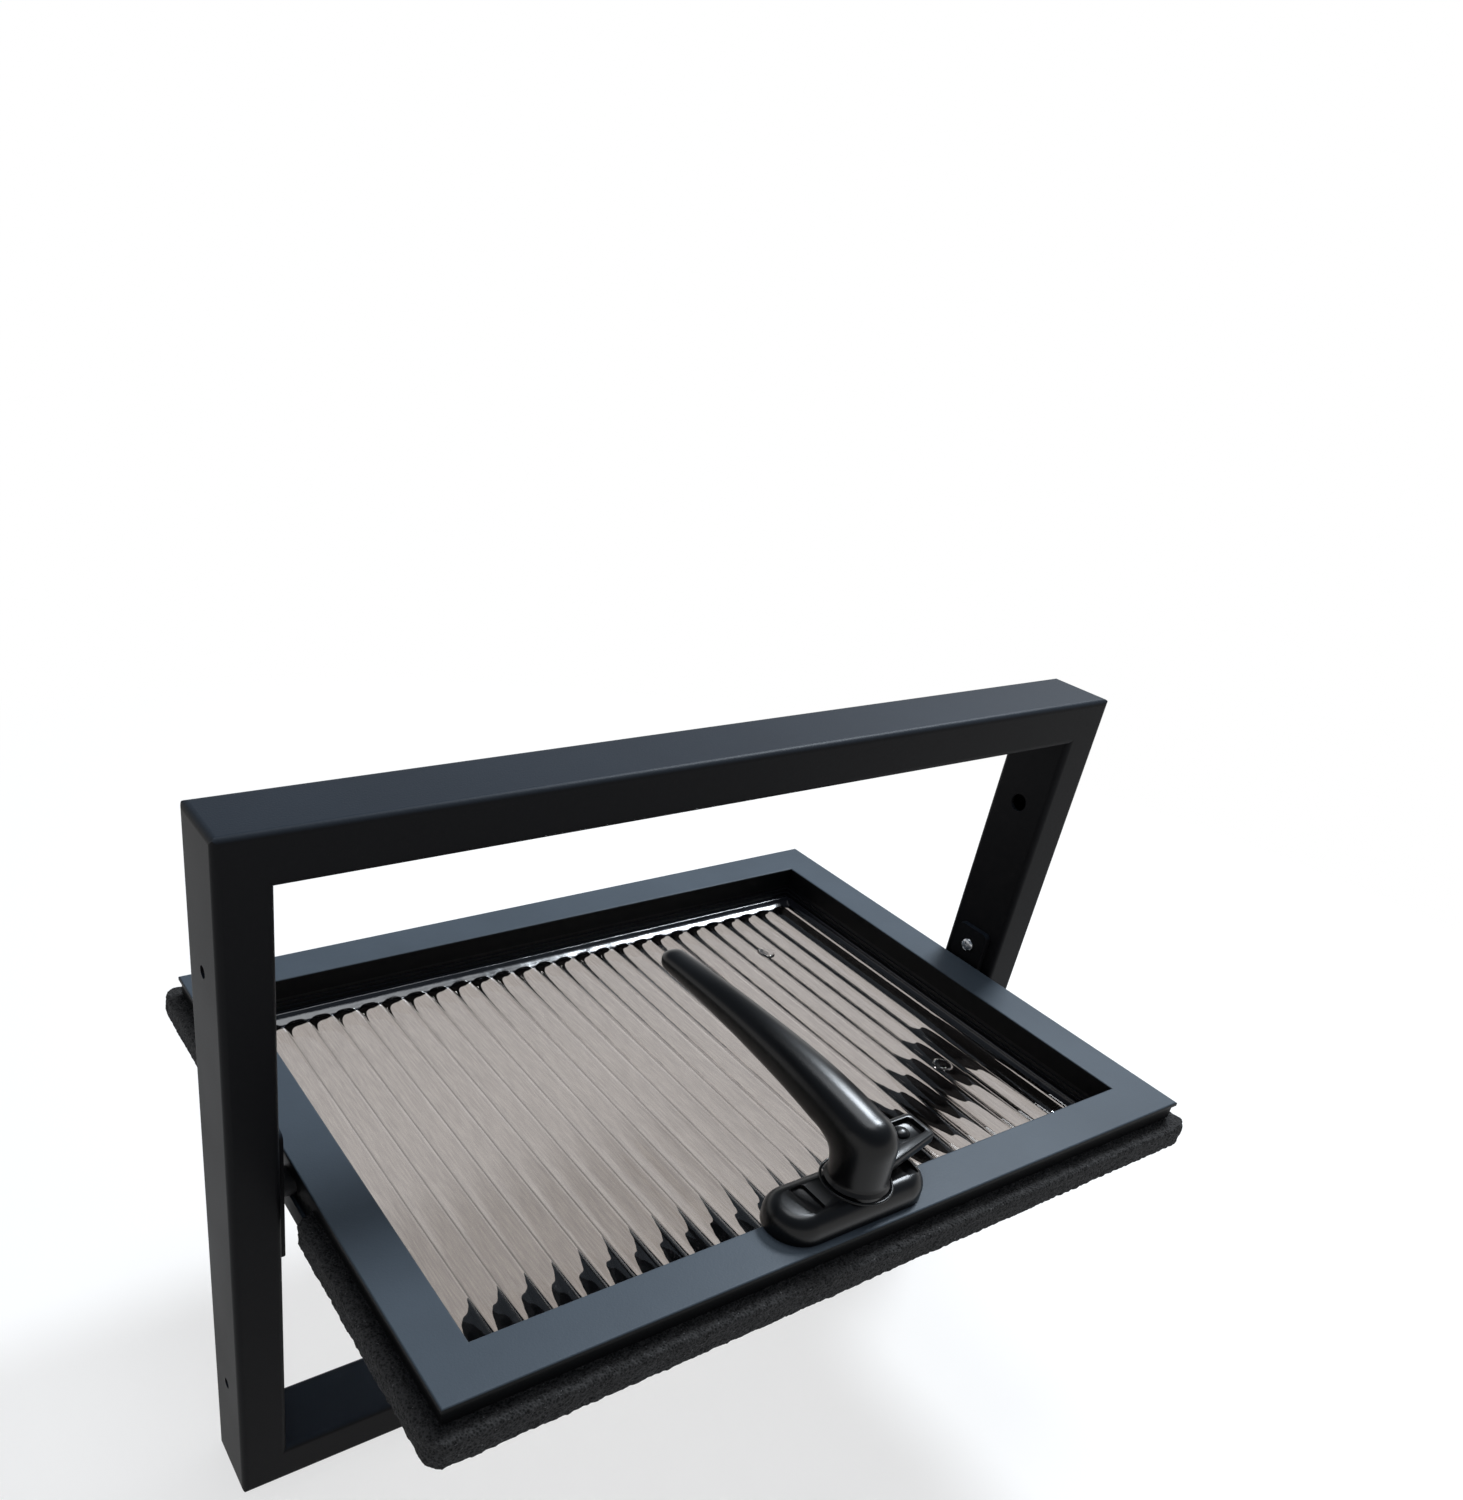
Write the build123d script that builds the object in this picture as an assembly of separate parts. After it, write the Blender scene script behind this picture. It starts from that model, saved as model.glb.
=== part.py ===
"""Centre-pivoted shed window: black box-section frame, reeded glass sash standing open, lever handle.

Millimetres. X runs along the width, +Y points away from the room, +Z is up.
The origin is the middle of the sill's underside. The sash turns on a level axis through the middle.
"""
from build123d import *
from math import asin, cos, pi, sin, sqrt
import os

# Frame
WIDTH = 400.0
HEIGHT = 300.0
FRAME_FACE = 19.0
FRAME_DEPTH = 30.0
FRAME_WALL = 1.5
FRAME_EDGE_RADIUS = 2.5

# Fixing holes through the stiles
FIXING_SPACING = 194.0
FIXING_HOLE_RADIUS = 2.25
ACCESS_HOLE_RADIUS = 4.0

# Sash
SASH_GAP = 6.5
SASH_SETBACK = 0.7
SASH_FACE = 19.2
SASH_WALL = 1.5
SASH_EDGE_RADIUS = 0.8
LIP_THICKNESS = 1.8
LIP_OVERHANG = 1.0
OPEN_ANGLE = 90.0

# Glazing
GLASS_DEPTH = 17.2
GLASS_THICKNESS = 4.0
GLASS_OVERLAP = 6.4
GLASS_CLEARANCE = 0.6
FLUTE_COUNT = 28
FLUTE_RISE = 1.0
BEAD_HEIGHT = 7.6
BEAD_STEPS = 3
BEAD_STEP_OUT = 0.7
SEALANT_WIDTH = 2.2
SEALANT_HEIGHT = 1.6
GASKET_THICKNESS = 0.8
GASKET_WIDTH = 5.0

# Foam weather strip round the sash
FOAM_WIDTH = 12.0
FOAM_GROOVE = 1.5
FOAM_CLEARANCE = 0.3
FOAM_EDGE_RADIUS = 2.0
FOAM_CORNER_CUT = 5.0
FOAM_PIVOT_GAP = 46.0
FOAM_END_SLANT = 4.0

# Pivots
PIVOT_PIN_RADIUS = 4.0
PIVOT_RUNNING = 0.05
COLLAR_CLEARANCE = 0.4
WASHER_THICKNESS = 0.5
PLATE_THICKNESS = 3.0
PLATE_LENGTH = 60.0
PLATE_WIDTH = 18.0
PLATE_CORNER_RADIUS = 3.0

# Handle on the sash's bottom rail
BASE_LENGTH = 70.0
BASE_WIDTH = 25.0
BASE_THICKNESS = 10.0
BASE_EDGE_CUT = 3.0
BASE_OVERHANG = 3.0
BASE_SHIFT = 4.0
RECESS_SPACING = 46.0
RECESS_LENGTH = 15.0
RECESS_WIDTH = 7.0
RECESS_DEPTH = 1.5
SPIGOT_GAP = 1.0
SPIGOT_HEIGHT = 0.8

# Cast lever
LEVER_REACH = 136.0
LEVER_TOP = 42.0
NECK_RADIUS = 12.0
SHOULDER_RADIUS = 10.6
TIP_RADIUS = 5.0
THROAT_RADIUS = 12.0
THROAT_BAR_RADIUS = 9.2
THROAT_BAR_LENGTH = 11.0

# Latch tongue beside the neck
TONGUE_LIFT = 3.0
TONGUE_THICKNESS = 4.5
TONGUE_REACH = 39.5
TONGUE_BACK = 15.0
TONGUE_FRONT = 1.0
TONGUE_ROOT_FRONT = -5.0
TONGUE_CORNER_RADIUS = 3.0
TONGUE_DISH_RADIUS = 4.8
TONGUE_DISH_DEPTH = 2.0
TONGUE_DISH_INSET = 7.0
TONGUE_DISH_OFFSET = 7.5

# Keeper on the sill
KEEPER_LENGTH = 36.0
KEEPER_HEIGHT = 17.0
KEEPER_LEAD = 3.0
KEEPER_GAP = 0.3

# Worked out from the sizes above
opening_width = WIDTH - 2 * FRAME_FACE
opening_height = HEIGHT - 2 * FRAME_FACE
sash_width = opening_width - 2 * SASH_GAP
sash_height = opening_height - 2 * SASH_GAP
sash_depth = FRAME_DEPTH - 2 * SASH_SETBACK
room_face = -sash_depth / 2
pocket = SASH_FACE - GLASS_OVERLAP
bead_top = GLASS_DEPTH - BEAD_HEIGHT
flange_top = GLASS_DEPTH + GLASS_THICKNESS + GASKET_THICKNESS
neck_foot = BASE_THICKNESS + SPIGOT_HEIGHT
tongue_low = BASE_THICKNESS + TONGUE_LIFT
keeper_thickness = tongue_low - SASH_SETBACK - KEEPER_GAP
foam_start = (sash_depth - FOAM_WIDTH) / 2
foam_end = foam_start + FOAM_WIDTH
collar_radius = FOAM_WIDTH / 2 - COLLAR_CLEARANCE
foam_proud = SASH_GAP - FOAM_CLEARANCE
foam_seat = LIP_OVERHANG + FOAM_GROOVE
bead_reach = SASH_FACE + BEAD_STEPS * BEAD_STEP_OUT
mitre_reach = 2 * max(FRAME_FACE, SASH_FACE)

pivot_place = Location((0, 0, HEIGHT / 2))
swing = pivot_place * Rot(X=-OPEN_ANGLE)


def outline(points):
    """A filled outline through the points."""
    return make_face(Polyline(*points, close=True))


def rectangle(low_u, low_w, high_u, high_w):
    """A rectangle between two corners of a section."""
    size_u, size_w = high_u - low_u, high_w - low_w
    return Pos(low_u + size_u / 2, low_w + size_w / 2) * Rectangle(size_u, size_w)


def rounded_at(section, corners, radius):
    """Round the named corners of a section."""
    picked = [v for v in section.vertices() if any(abs(v.X - u) + abs(v.Y - w) < 0.01 for u, w in corners)]
    return fillet(picked, radius)


def member(section, run, reach, outer, inner, top):
    """One mitred member of a ring, lying along the ring's bottom side.

    The section's first axis points inward from the ring's nominal edge, and its second along +Y from top.
    """
    place = Plane(origin=(run / 2 + outer, top, -reach), x_dir=(0, 0, 1), z_dir=(-1, 0, 0))
    bar = extrude(place * section, amount=run + 2 * outer)
    wedge = outline([
        (-run / 2 - outer, -reach - outer),
        (run / 2 + outer, -reach - outer),
        (run / 2 - inner, -reach + inner),
        (-run / 2 + inner, -reach + inner),
    ])
    return bar & extrude(Plane.XZ * wedge, amount=FRAME_DEPTH * 2, both=True)


def ring(section, width, height, outer, inner, top):
    """The four mitred members of a rectangular ring."""
    flat = member(section, width, height / 2, outer, inner, top)
    upright = member(section, height, width / 2, outer, inner, top)
    return {
        "bottom": flat,
        "top": Rot(Y=180) * flat,
        "left": Rot(Y=90) * upright,
        "right": Rot(Y=-90) * upright,
    }


def rod(radius, low_x, high_x, y=0.0, z=0.0):
    """A round bar along X."""
    place = Plane(origin=(low_x, y, z), x_dir=(0, 1, 0), z_dir=(1, 0, 0))
    return extrude(place * Circle(radius), amount=high_x - low_x)


def frame_section():
    """The frame's box tube, with its outer edges rounded."""
    tube = RectangleRounded(FRAME_FACE, FRAME_DEPTH, FRAME_EDGE_RADIUS)
    cavity = Rectangle(FRAME_FACE - 2 * FRAME_WALL, FRAME_DEPTH - 2 * FRAME_WALL)
    return Pos(FRAME_FACE / 2, 0) * (tube - cavity)


def sash_section():
    """The sash's hollow bar: face lip, foam groove, glass rebate and outer flange."""
    solid = outline([
        (0, 0),
        (SASH_FACE, 0),
        (SASH_FACE, bead_top),
        (pocket, bead_top),
        (pocket, flange_top),
        (SASH_FACE, flange_top),
        (SASH_FACE, sash_depth),
        (LIP_OVERHANG, sash_depth),
        (LIP_OVERHANG, foam_end),
        (foam_seat, foam_end),
        (foam_seat, foam_start),
        (LIP_OVERHANG, foam_start),
        (LIP_OVERHANG, LIP_THICKNESS),
        (0, LIP_THICKNESS),
    ])
    solid = rounded_at(solid, [(0, 0), (SASH_FACE, 0)], SASH_EDGE_RADIUS)
    side = LIP_OVERHANG + SASH_WALL
    back = foam_end + SASH_WALL
    face_cell = rectangle(side, LIP_THICKNESS, SASH_FACE - SASH_WALL, foam_start - SASH_WALL)
    middle_cell = rectangle(foam_seat + SASH_WALL, foam_start, pocket - SASH_WALL, back - SASH_WALL)
    back_cell = rectangle(side, max(back, flange_top) + SASH_WALL, SASH_FACE - SASH_WALL, sash_depth - SASH_WALL)
    return solid - face_cell - middle_cell - back_cell


def bead_section():
    """The glazing bead, whose inner face steps out towards the glass."""
    drop = BEAD_HEIGHT / (BEAD_STEPS + 1)
    points = [(pocket, GLASS_DEPTH), (pocket, bead_top), (SASH_FACE, bead_top)]
    for step in range(BEAD_STEPS):
        depth = bead_top + (step + 1) * drop
        points.append((SASH_FACE + step * BEAD_STEP_OUT, depth))
        points.append((SASH_FACE + (step + 1) * BEAD_STEP_OUT, depth))
    points.append((bead_reach, GLASS_DEPTH))
    return outline(points)


def sealant_section():
    """A sloping line of sealant between the bead and the glass."""
    return outline([
        (bead_reach, GLASS_DEPTH - SEALANT_HEIGHT),
        (bead_reach + SEALANT_WIDTH, GLASS_DEPTH),
        (bead_reach, GLASS_DEPTH),
    ])


def gasket_section():
    """The flat gasket under the glass."""
    glass_back = GLASS_DEPTH + GLASS_THICKNESS
    return rectangle(SASH_FACE - GASKET_WIDTH, glass_back, SASH_FACE, flange_top)


def foam_section():
    """The foam strip, seated in its groove and rounded outside."""
    low, high = foam_start, foam_end
    strip = rectangle(-foam_proud, low, foam_seat, high)
    return rounded_at(strip, [(-foam_proud, low), (-foam_proud, high)], FOAM_EDGE_RADIUS)


def glass_pane():
    """One sheet of reeded glass, with its flutes upright on the room side."""
    half_width = sash_width / 2 - pocket - GLASS_CLEARANCE
    half_height = sash_height / 2 - pocket - GLASS_CLEARANCE
    pitch = 2 * half_width / FLUTE_COUNT
    crest = room_face + GLASS_DEPTH
    valley = crest + FLUTE_RISE
    back = crest + GLASS_THICKNESS
    arcs = []
    for flute in range(FLUTE_COUNT):
        start = -half_width + flute * pitch
        arcs.append(ThreePointArc((start, valley), (start + pitch / 2, crest), (start + pitch, valley)))
    rim = Polyline((half_width, valley), (half_width, back), (-half_width, back), (-half_width, valley))
    face = make_face(arcs + [rim])
    return extrude(Pos(0, 0, -half_height) * face, amount=2 * half_height)


def foam_pieces():
    """The strips of foam: whole above and below, and broken at the pivots on each side."""
    strips = ring(foam_section(), sash_width, sash_height, foam_proud, foam_seat, room_face)
    reach_x, reach_z = sash_width / 2 + foam_proud, sash_height / 2 + foam_proud
    trim = chamfer((Plane.XZ * Rectangle(2 * reach_x, 2 * reach_z)).vertices(), FOAM_CORNER_CUT)
    trim = extrude(trim, amount=sash_depth, both=True)
    inner, half_gap = sash_width / 2 - foam_seat, FOAM_PIVOT_GAP / 2
    gap = extrude(Plane.XZ * outline([
        (-reach_x, -half_gap - FOAM_END_SLANT), (-inner, -half_gap), (inner, -half_gap),
        (reach_x, -half_gap - FOAM_END_SLANT), (reach_x, half_gap + FOAM_END_SLANT), (inner, half_gap),
        (-inner, half_gap), (-reach_x, half_gap + FOAM_END_SLANT),
    ]), amount=sash_depth, both=True)
    upper = Pos(0, 0, HEIGHT) * Box(2 * WIDTH, 2 * FRAME_DEPTH, 2 * HEIGHT)
    lower = Pos(0, 0, -HEIGHT) * Box(2 * WIDTH, 2 * FRAME_DEPTH, 2 * HEIGHT)
    pieces = {"foam_top": strips["top"] & trim, "foam_bottom": strips["bottom"] & trim}
    for side in ("left", "right"):
        broken = (strips[side] & trim) - gap
        pieces[f"foam_{side}_upper"] = broken & upper
        pieces[f"foam_{side}_lower"] = broken & lower
    return pieces


def pivot_pieces(sign):
    """One side's collar with its pin, and the washer beside it, in the sash's own place."""
    sash_side = sash_width / 2 - LIP_OVERHANG - FOAM_GROOVE
    plate_face = opening_width / 2 - PLATE_THICKNESS
    washer_face = plate_face - WASHER_THICKNESS
    pin_end = opening_width / 2 + FRAME_WALL
    collar = rod(collar_radius, sash_side, washer_face) + rod(PIVOT_PIN_RADIUS, sash_side, pin_end)
    washer = rod(collar_radius, washer_face, plate_face) - rod(PIVOT_PIN_RADIUS, sash_side, pin_end)
    turn = Rot(Z=0 if sign > 0 else 180)
    return turn * collar, turn * washer


def pivot_plate(sign):
    """The plate on the stile's inner face that carries the pin."""
    face = opening_width / 2 - PLATE_THICKNESS
    place = Plane(origin=(face, 0, 0), x_dir=(0, 0, 1), z_dir=(1, 0, 0))
    plate = extrude(place * RectangleRounded(PLATE_LENGTH, PLATE_WIDTH, PLATE_CORNER_RADIUS), PLATE_THICKNESS)
    plate -= rod(PIVOT_PIN_RADIUS + PIVOT_RUNNING, face - 1, face + PLATE_THICKNESS + 1)
    return Rot(Z=0 if sign > 0 else 180) * plate


def frame_pieces():
    """The four mitred tubes of the frame, about the pivot axis, with their holes."""
    tubes = ring(frame_section(), WIDTH, HEIGHT, 0, mitre_reach, 0)
    corner = extrude(Plane.XZ * RectangleRounded(WIDTH, HEIGHT, FRAME_EDGE_RADIUS), FRAME_DEPTH, both=True)
    stile_inner = opening_width / 2
    holes = rod(PIVOT_PIN_RADIUS + PIVOT_RUNNING, stile_inner - 1, stile_inner + FRAME_WALL + 1)
    for z in (-FIXING_SPACING / 2, FIXING_SPACING / 2):
        holes += rod(FIXING_HOLE_RADIUS, stile_inner, WIDTH / 2 + 1, z=z)
        holes += rod(ACCESS_HOLE_RADIUS, stile_inner - 1, stile_inner + FRAME_WALL + 1, z=z)
    return {
        "frame_head": tubes["top"] & corner,
        "frame_sill": tubes["bottom"] & corner,
        "frame_left_stile": (tubes["left"] & corner) - Rot(Z=180) * holes,
        "frame_right_stile": (tubes["right"] & corner) - holes,
    }


def handle_centre():
    """Height of the handle's turning axis on the sash, from the pivot axis."""
    return -sash_height / 2 + BASE_OVERHANG + BASE_WIDTH / 2


def on_handle(piece):
    """Move a piece of the handle from the turning axis to its place on the sash."""
    return Pos(0, room_face, handle_centre()) * piece


def handle_base():
    """The domed plate under the lever, with a recess at each end, and the round seat that the lever turns on."""
    plate = extrude(Plane.XZ * Pos(-BASE_SHIFT, 0) * SlotOverall(BASE_LENGTH, BASE_WIDTH), BASE_THICKNESS)
    plate = chamfer(plate.faces().sort_by(Axis.Y)[0].edges(), BASE_EDGE_CUT)
    floor = Plane.XZ.offset(BASE_THICKNESS - RECESS_DEPTH)
    for x in (-RECESS_SPACING / 2, RECESS_SPACING / 2):
        plate -= extrude(floor * Pos(x, 0) * Rectangle(RECESS_WIDTH, RECESS_LENGTH), RECESS_DEPTH + 1)
    plate += extrude(Plane.XZ * Circle(BASE_WIDTH / 2), BASE_THICKNESS)
    plate += extrude(Plane.XZ * Circle(NECK_RADIUS - SPIGOT_GAP), neck_foot)
    return on_handle(plate)


def tapered_bar(start, start_radius, end, end_radius):
    """A tapering round bar between two balls, tangent to both."""
    start, end = Vector(start), Vector(end)
    length = (end - start).length
    lean = (start_radius - end_radius) / length
    square, half = sqrt(1 - lean ** 2), asin(lean) / 2
    start_rim = (start_radius * square, start_radius * lean)
    end_rim = (end_radius * square, length + end_radius * lean)
    on_start = (start_radius * cos(half - pi / 4), start_radius * sin(half - pi / 4))
    on_end = (end_radius * cos(half + pi / 4), length + end_radius * sin(half + pi / 4))
    half_outline = make_face([
        Line((0, -start_radius), (0, length + end_radius)),
        ThreePointArc((0, length + end_radius), on_end, end_rim),
        Line(end_rim, start_rim),
        ThreePointArc(start_rim, on_start, (0, -start_radius)),
    ])
    along = (end - start).normalized()
    place = Plane(origin=start, x_dir=(1, 0, 0), z_dir=Vector(1, 0, 0).cross(along))
    return revolve(place * half_outline, Axis(start, along))


def throat_bar():
    """The slanting bar that thickens the inner corner between the neck and the arm."""
    corner = SHOULDER_RADIUS + THROAT_RADIUS
    inward = (corner * sqrt(2) - THROAT_RADIUS - THROAT_BAR_RADIUS) / sqrt(2)
    place = Plane(
        origin=(0, SHOULDER_RADIUS - LEVER_TOP + inward, inward), x_dir=(1, 0, 0), z_dir=(0, -1, 1))
    return extrude(place * Circle(THROAT_BAR_RADIUS), amount=THROAT_BAR_LENGTH / 2, both=True)


def handle_lever():
    """The cast lever: a round neck, a ball-shaped shoulder and an arm that thins out towards its tip."""
    shoulder = (0, SHOULDER_RADIUS - LEVER_TOP, 0)
    tip = (0, TIP_RADIUS - LEVER_TOP, LEVER_REACH - NECK_RADIUS - TIP_RADIUS)
    arm = tapered_bar(shoulder, SHOULDER_RADIUS, tip, TIP_RADIUS)
    neck = tapered_bar(shoulder, SHOULDER_RADIUS, (0, -neck_foot, 0), NECK_RADIUS)
    under = Pos(0, LEVER_TOP / 2 - neck_foot, 0) * Box(LEVER_TOP, LEVER_TOP, LEVER_TOP)
    return on_handle(arm + throat_bar() + (neck - under))


def handle_tongue(lever):
    """The latch tongue that stands out from the neck, with a round dish in its top."""
    plan = outline([
        (0, TONGUE_ROOT_FRONT), (NECK_RADIUS, TONGUE_ROOT_FRONT),
        (TONGUE_REACH, TONGUE_FRONT), (TONGUE_REACH, TONGUE_BACK), (0, TONGUE_BACK),
    ])
    plan = fillet(plan.vertices().group_by(Axis.X)[-1], TONGUE_CORNER_RADIUS)
    tongue = extrude(Plane.XZ.offset(tongue_low) * plan, TONGUE_THICKNESS)
    dish_floor = Plane.XZ.offset(tongue_low + TONGUE_THICKNESS - TONGUE_DISH_DEPTH)
    dish_place = Pos(TONGUE_REACH - TONGUE_DISH_INSET, TONGUE_DISH_OFFSET)
    tongue -= extrude(dish_floor * dish_place * Circle(TONGUE_DISH_RADIUS), TONGUE_DISH_DEPTH + 1)
    outside = on_handle(tongue) - lever
    return outside.solids().sort_by(Axis.X)[-1]


def keeper():
    """The D-shaped keeper on the sill's room face, ramped where the turning tongue climbs on to it."""
    half_length, half_height = KEEPER_LENGTH / 2, KEEPER_HEIGHT / 2
    plan = Rectangle(KEEPER_LENGTH, KEEPER_HEIGHT)
    plan = fillet(plan.vertices().group_by(Axis.X)[-1], half_height - KEEPER_GAP)
    block = extrude(Plane.XZ * plan, keeper_thickness)
    ramp = outline([
        (0, -keeper_thickness), (half_length, KEEPER_LEAD - keeper_thickness), (half_length, -keeper_thickness)])
    block -= extrude(ramp, amount=half_height, both=True)
    return Pos(0, -FRAME_DEPTH / 2, -HEIGHT / 2 + FRAME_FACE / 2) * block


def pieces():
    """Every piece by name, in its place with the sash standing open."""
    built = {name: pivot_place * piece for name, piece in frame_pieces().items()}
    built["keeper"] = pivot_place * keeper()
    bars = ring(sash_section(), sash_width, sash_height, 0, mitre_reach, room_face)
    beads = ring(bead_section(), sash_width, sash_height, 0, mitre_reach, room_face)
    names = {"top": "top_rail", "bottom": "bottom_rail", "left": "left_stile", "right": "right_stile"}
    sash = {f"sash_{name}": bars[side] for side, name in names.items()}
    for side in names:
        sash[f"bead_{side}"] = beads[side]
    sash["glass_pane"] = glass_pane()
    sealant = ring(sealant_section(), sash_width, sash_height, 0, mitre_reach, room_face)
    gasket = ring(gasket_section(), sash_width, sash_height, 0, mitre_reach, room_face)
    sash["glazing_sealant"] = Part() + list(sealant.values())
    sash["glazing_gasket"] = Part() + list(gasket.values())
    sash.update(foam_pieces())
    for side, sign in (("left", -1), ("right", 1)):
        collar, washer = pivot_pieces(sign)
        sash[f"pivot_pin_{side}"] = collar
        sash[f"pivot_washer_{side}"] = washer
        built[f"pivot_plate_{side}"] = pivot_place * pivot_plate(sign)
    sash["handle_base"] = handle_base()
    sash["handle_lever"] = handle_lever()
    sash["handle_tongue"] = handle_tongue(sash["handle_lever"])
    built.update({name: swing * piece for name, piece in sash.items()})
    return built


os.makedirs("parts", exist_ok=True)
for name, piece in pieces().items():
    export_step(piece, f"parts/{name}.step")
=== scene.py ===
"""Looks of a centre-pivoted shed window: coated bars, reeded glass, foam strip, sealant and small hardware.

Metres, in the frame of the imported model: X along the width, +Y away from the room, +Z up.
"""
from __future__ import annotations

import logging
import math
from dataclasses import dataclass
from enum import Enum

import bmesh
import bpy
from mathutils import Matrix, Vector, noise

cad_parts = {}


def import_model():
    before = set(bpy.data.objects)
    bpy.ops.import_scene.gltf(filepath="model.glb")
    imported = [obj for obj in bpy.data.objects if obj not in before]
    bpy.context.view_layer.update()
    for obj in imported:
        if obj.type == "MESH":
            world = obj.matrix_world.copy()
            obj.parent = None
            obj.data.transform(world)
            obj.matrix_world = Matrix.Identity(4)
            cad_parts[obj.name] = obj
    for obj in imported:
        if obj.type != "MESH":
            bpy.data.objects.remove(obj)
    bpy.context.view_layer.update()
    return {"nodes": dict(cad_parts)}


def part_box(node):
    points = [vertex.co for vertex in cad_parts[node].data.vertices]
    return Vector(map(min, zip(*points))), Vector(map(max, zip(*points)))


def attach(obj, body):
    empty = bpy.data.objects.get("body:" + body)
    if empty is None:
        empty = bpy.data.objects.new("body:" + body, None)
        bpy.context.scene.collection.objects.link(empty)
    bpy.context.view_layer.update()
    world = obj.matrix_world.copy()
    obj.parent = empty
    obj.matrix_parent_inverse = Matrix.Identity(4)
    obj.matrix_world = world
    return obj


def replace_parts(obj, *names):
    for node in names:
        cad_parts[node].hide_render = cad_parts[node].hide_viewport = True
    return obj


log = logging.getLogger("shed_window")

MM = 0.001
PHOTO_WIDTH = 1463
PHOTO_HEIGHT = 1500
FLUTE_COUNT = 28
EASED_MIDDLE = 0.3
WELD_DISTANCE = 1e-7
SHARP_ANGLE = 40.0
CARVED_ANGLE = 50.0

Point = tuple[float, float, float]
Spot = tuple[float, float]
Colour = tuple[float, float, float]
Socket = bpy.types.NodeSocket
Node = bpy.types.Node
NodeTree = bpy.types.NodeTree
Material = bpy.types.Material
Piece = bpy.types.Object
Nodes = dict[str, Piece]
Mesh = bpy.types.Mesh
Shape = bmesh.types.BMesh
Rings = list[list[Vector]]
Span = tuple[Spot, Spot, float, float]


class Side(Enum):
    """A side of the open sash: near is by the handle, far is away from it."""

    NEAR = "near"
    FAR = "far"
    LEFT = "left"
    RIGHT = "right"

    @property
    def across(self) -> bool:
        """Whether the side runs across the window."""
        return self in (Side.NEAR, Side.FAR)

    def spot(self, along: float, inward: float, low: Vector, high: Vector) -> Spot:
        """Find a point beside this side of a box, seen from above.

        Args:
            along: Where on the side.
            inward: How far inside it.
            low: The box's lowest corner.
            high: Its highest corner.

        Returns:
            The point.
        """
        edge, sign = (low, 1) if self in (Side.NEAR, Side.LEFT) else (high, -1)
        if self.across:
            return along, edge.y + sign * inward
        return edge.x + sign * inward, along


def remap(value: float, low: float, high: float) -> float:
    """Place value between low and high, where value is from 0 to 1."""
    return low + (high - low) * value


def along_path(points: list[Spot], share: float) -> Spot:
    """Find a point on a chain of straight lines.

    Args:
        points: The chain's points.
        share: The part of the chain's length, from 0 to 1.

    Returns:
        The point at that share.
    """
    lengths = [math.dist(first, second) for first, second in zip(points, points[1:])]
    left = share * sum(lengths)
    for (first, second), length in zip(zip(points, points[1:]), lengths):
        if left <= length:
            part = left / length
            return remap(part, first[0], second[0]), remap(part, first[1], second[1])
        left -= length
    return points[-1]


def arc_points(centre: Spot, radius: float, start: float, end: float, steps: int) -> list[Spot]:
    """Points on an arc in so many steps, both ends included, with its angles in degrees."""
    turns = [math.radians(remap(step / steps, start, end)) for step in range(steps + 1)]
    return [(centre[0] + radius * math.cos(turn), centre[1] + radius * math.sin(turn)) for turn in turns]


def circle_points(radius: float, sides: int, centre: Spot = (0.0, 0.0)) -> list[Spot]:
    """Points all round a circle, the first one not repeated."""
    return arc_points(centre, radius, 0, 360 - 360 / sides, sides - 1)


def rectangle(half_x: float, half_y: float) -> list[Spot]:
    """The corners of a rectangle round the origin, anticlockwise."""
    return [(-half_x, -half_y), (half_x, -half_y), (half_x, half_y), (-half_x, half_y)]


def rounded_outline(corners: list[Spot], radius: float, steps: int = 6) -> list[Spot]:
    """Round every corner of a convex outline that runs anticlockwise.

    Args:
        corners: The outline's corners.
        radius: The radius of each corner.
        steps: How many parts each round has.

    Returns:
        The rounded outline's points.
    """
    points = []
    for index, corner in enumerate(corners):
        place = Vector(corner)
        back = (Vector(corners[index - 1]) - place).normalized()
        ahead = (Vector(corners[(index + 1) % len(corners)]) - place).normalized()
        half = back.angle(ahead) / 2
        centre = place + (back + ahead).normalized() * (radius / math.sin(half))
        first = place + back * (radius / math.tan(half)) - centre
        last = place + ahead * (radius / math.tan(half)) - centre
        turn = first.angle(last)
        start = math.atan2(first.y, first.x)
        for step in range(steps + 1):
            angle = start + turn * step / steps
            points.append((centre.x + radius * math.cos(angle), centre.y + radius * math.sin(angle)))
    return points


def close_mesh(shape: Shape, name: str, sharp: float = SHARP_ANGLE) -> Mesh:
    """Turn a built shape into a mesh that is smooth, with its sharp edges kept.

    Args:
        shape: The shape, which is freed.
        name: The mesh's name.
        sharp: The angle in degrees from which an edge stays sharp.

    Returns:
        The mesh.
    """
    bmesh.ops.recalc_face_normals(shape, faces=shape.faces)
    mesh = bpy.data.meshes.new(name)
    shape.to_mesh(mesh)
    shape.free()
    smooth_mesh(mesh, sharp)
    return mesh


def smooth_mesh(mesh: Mesh, sharp: float) -> None:
    """Shade a mesh smooth, with edges over the given angle in degrees kept sharp."""
    mesh.shade_smooth()
    mesh.set_sharp_from_angle(angle=math.radians(sharp))


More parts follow.
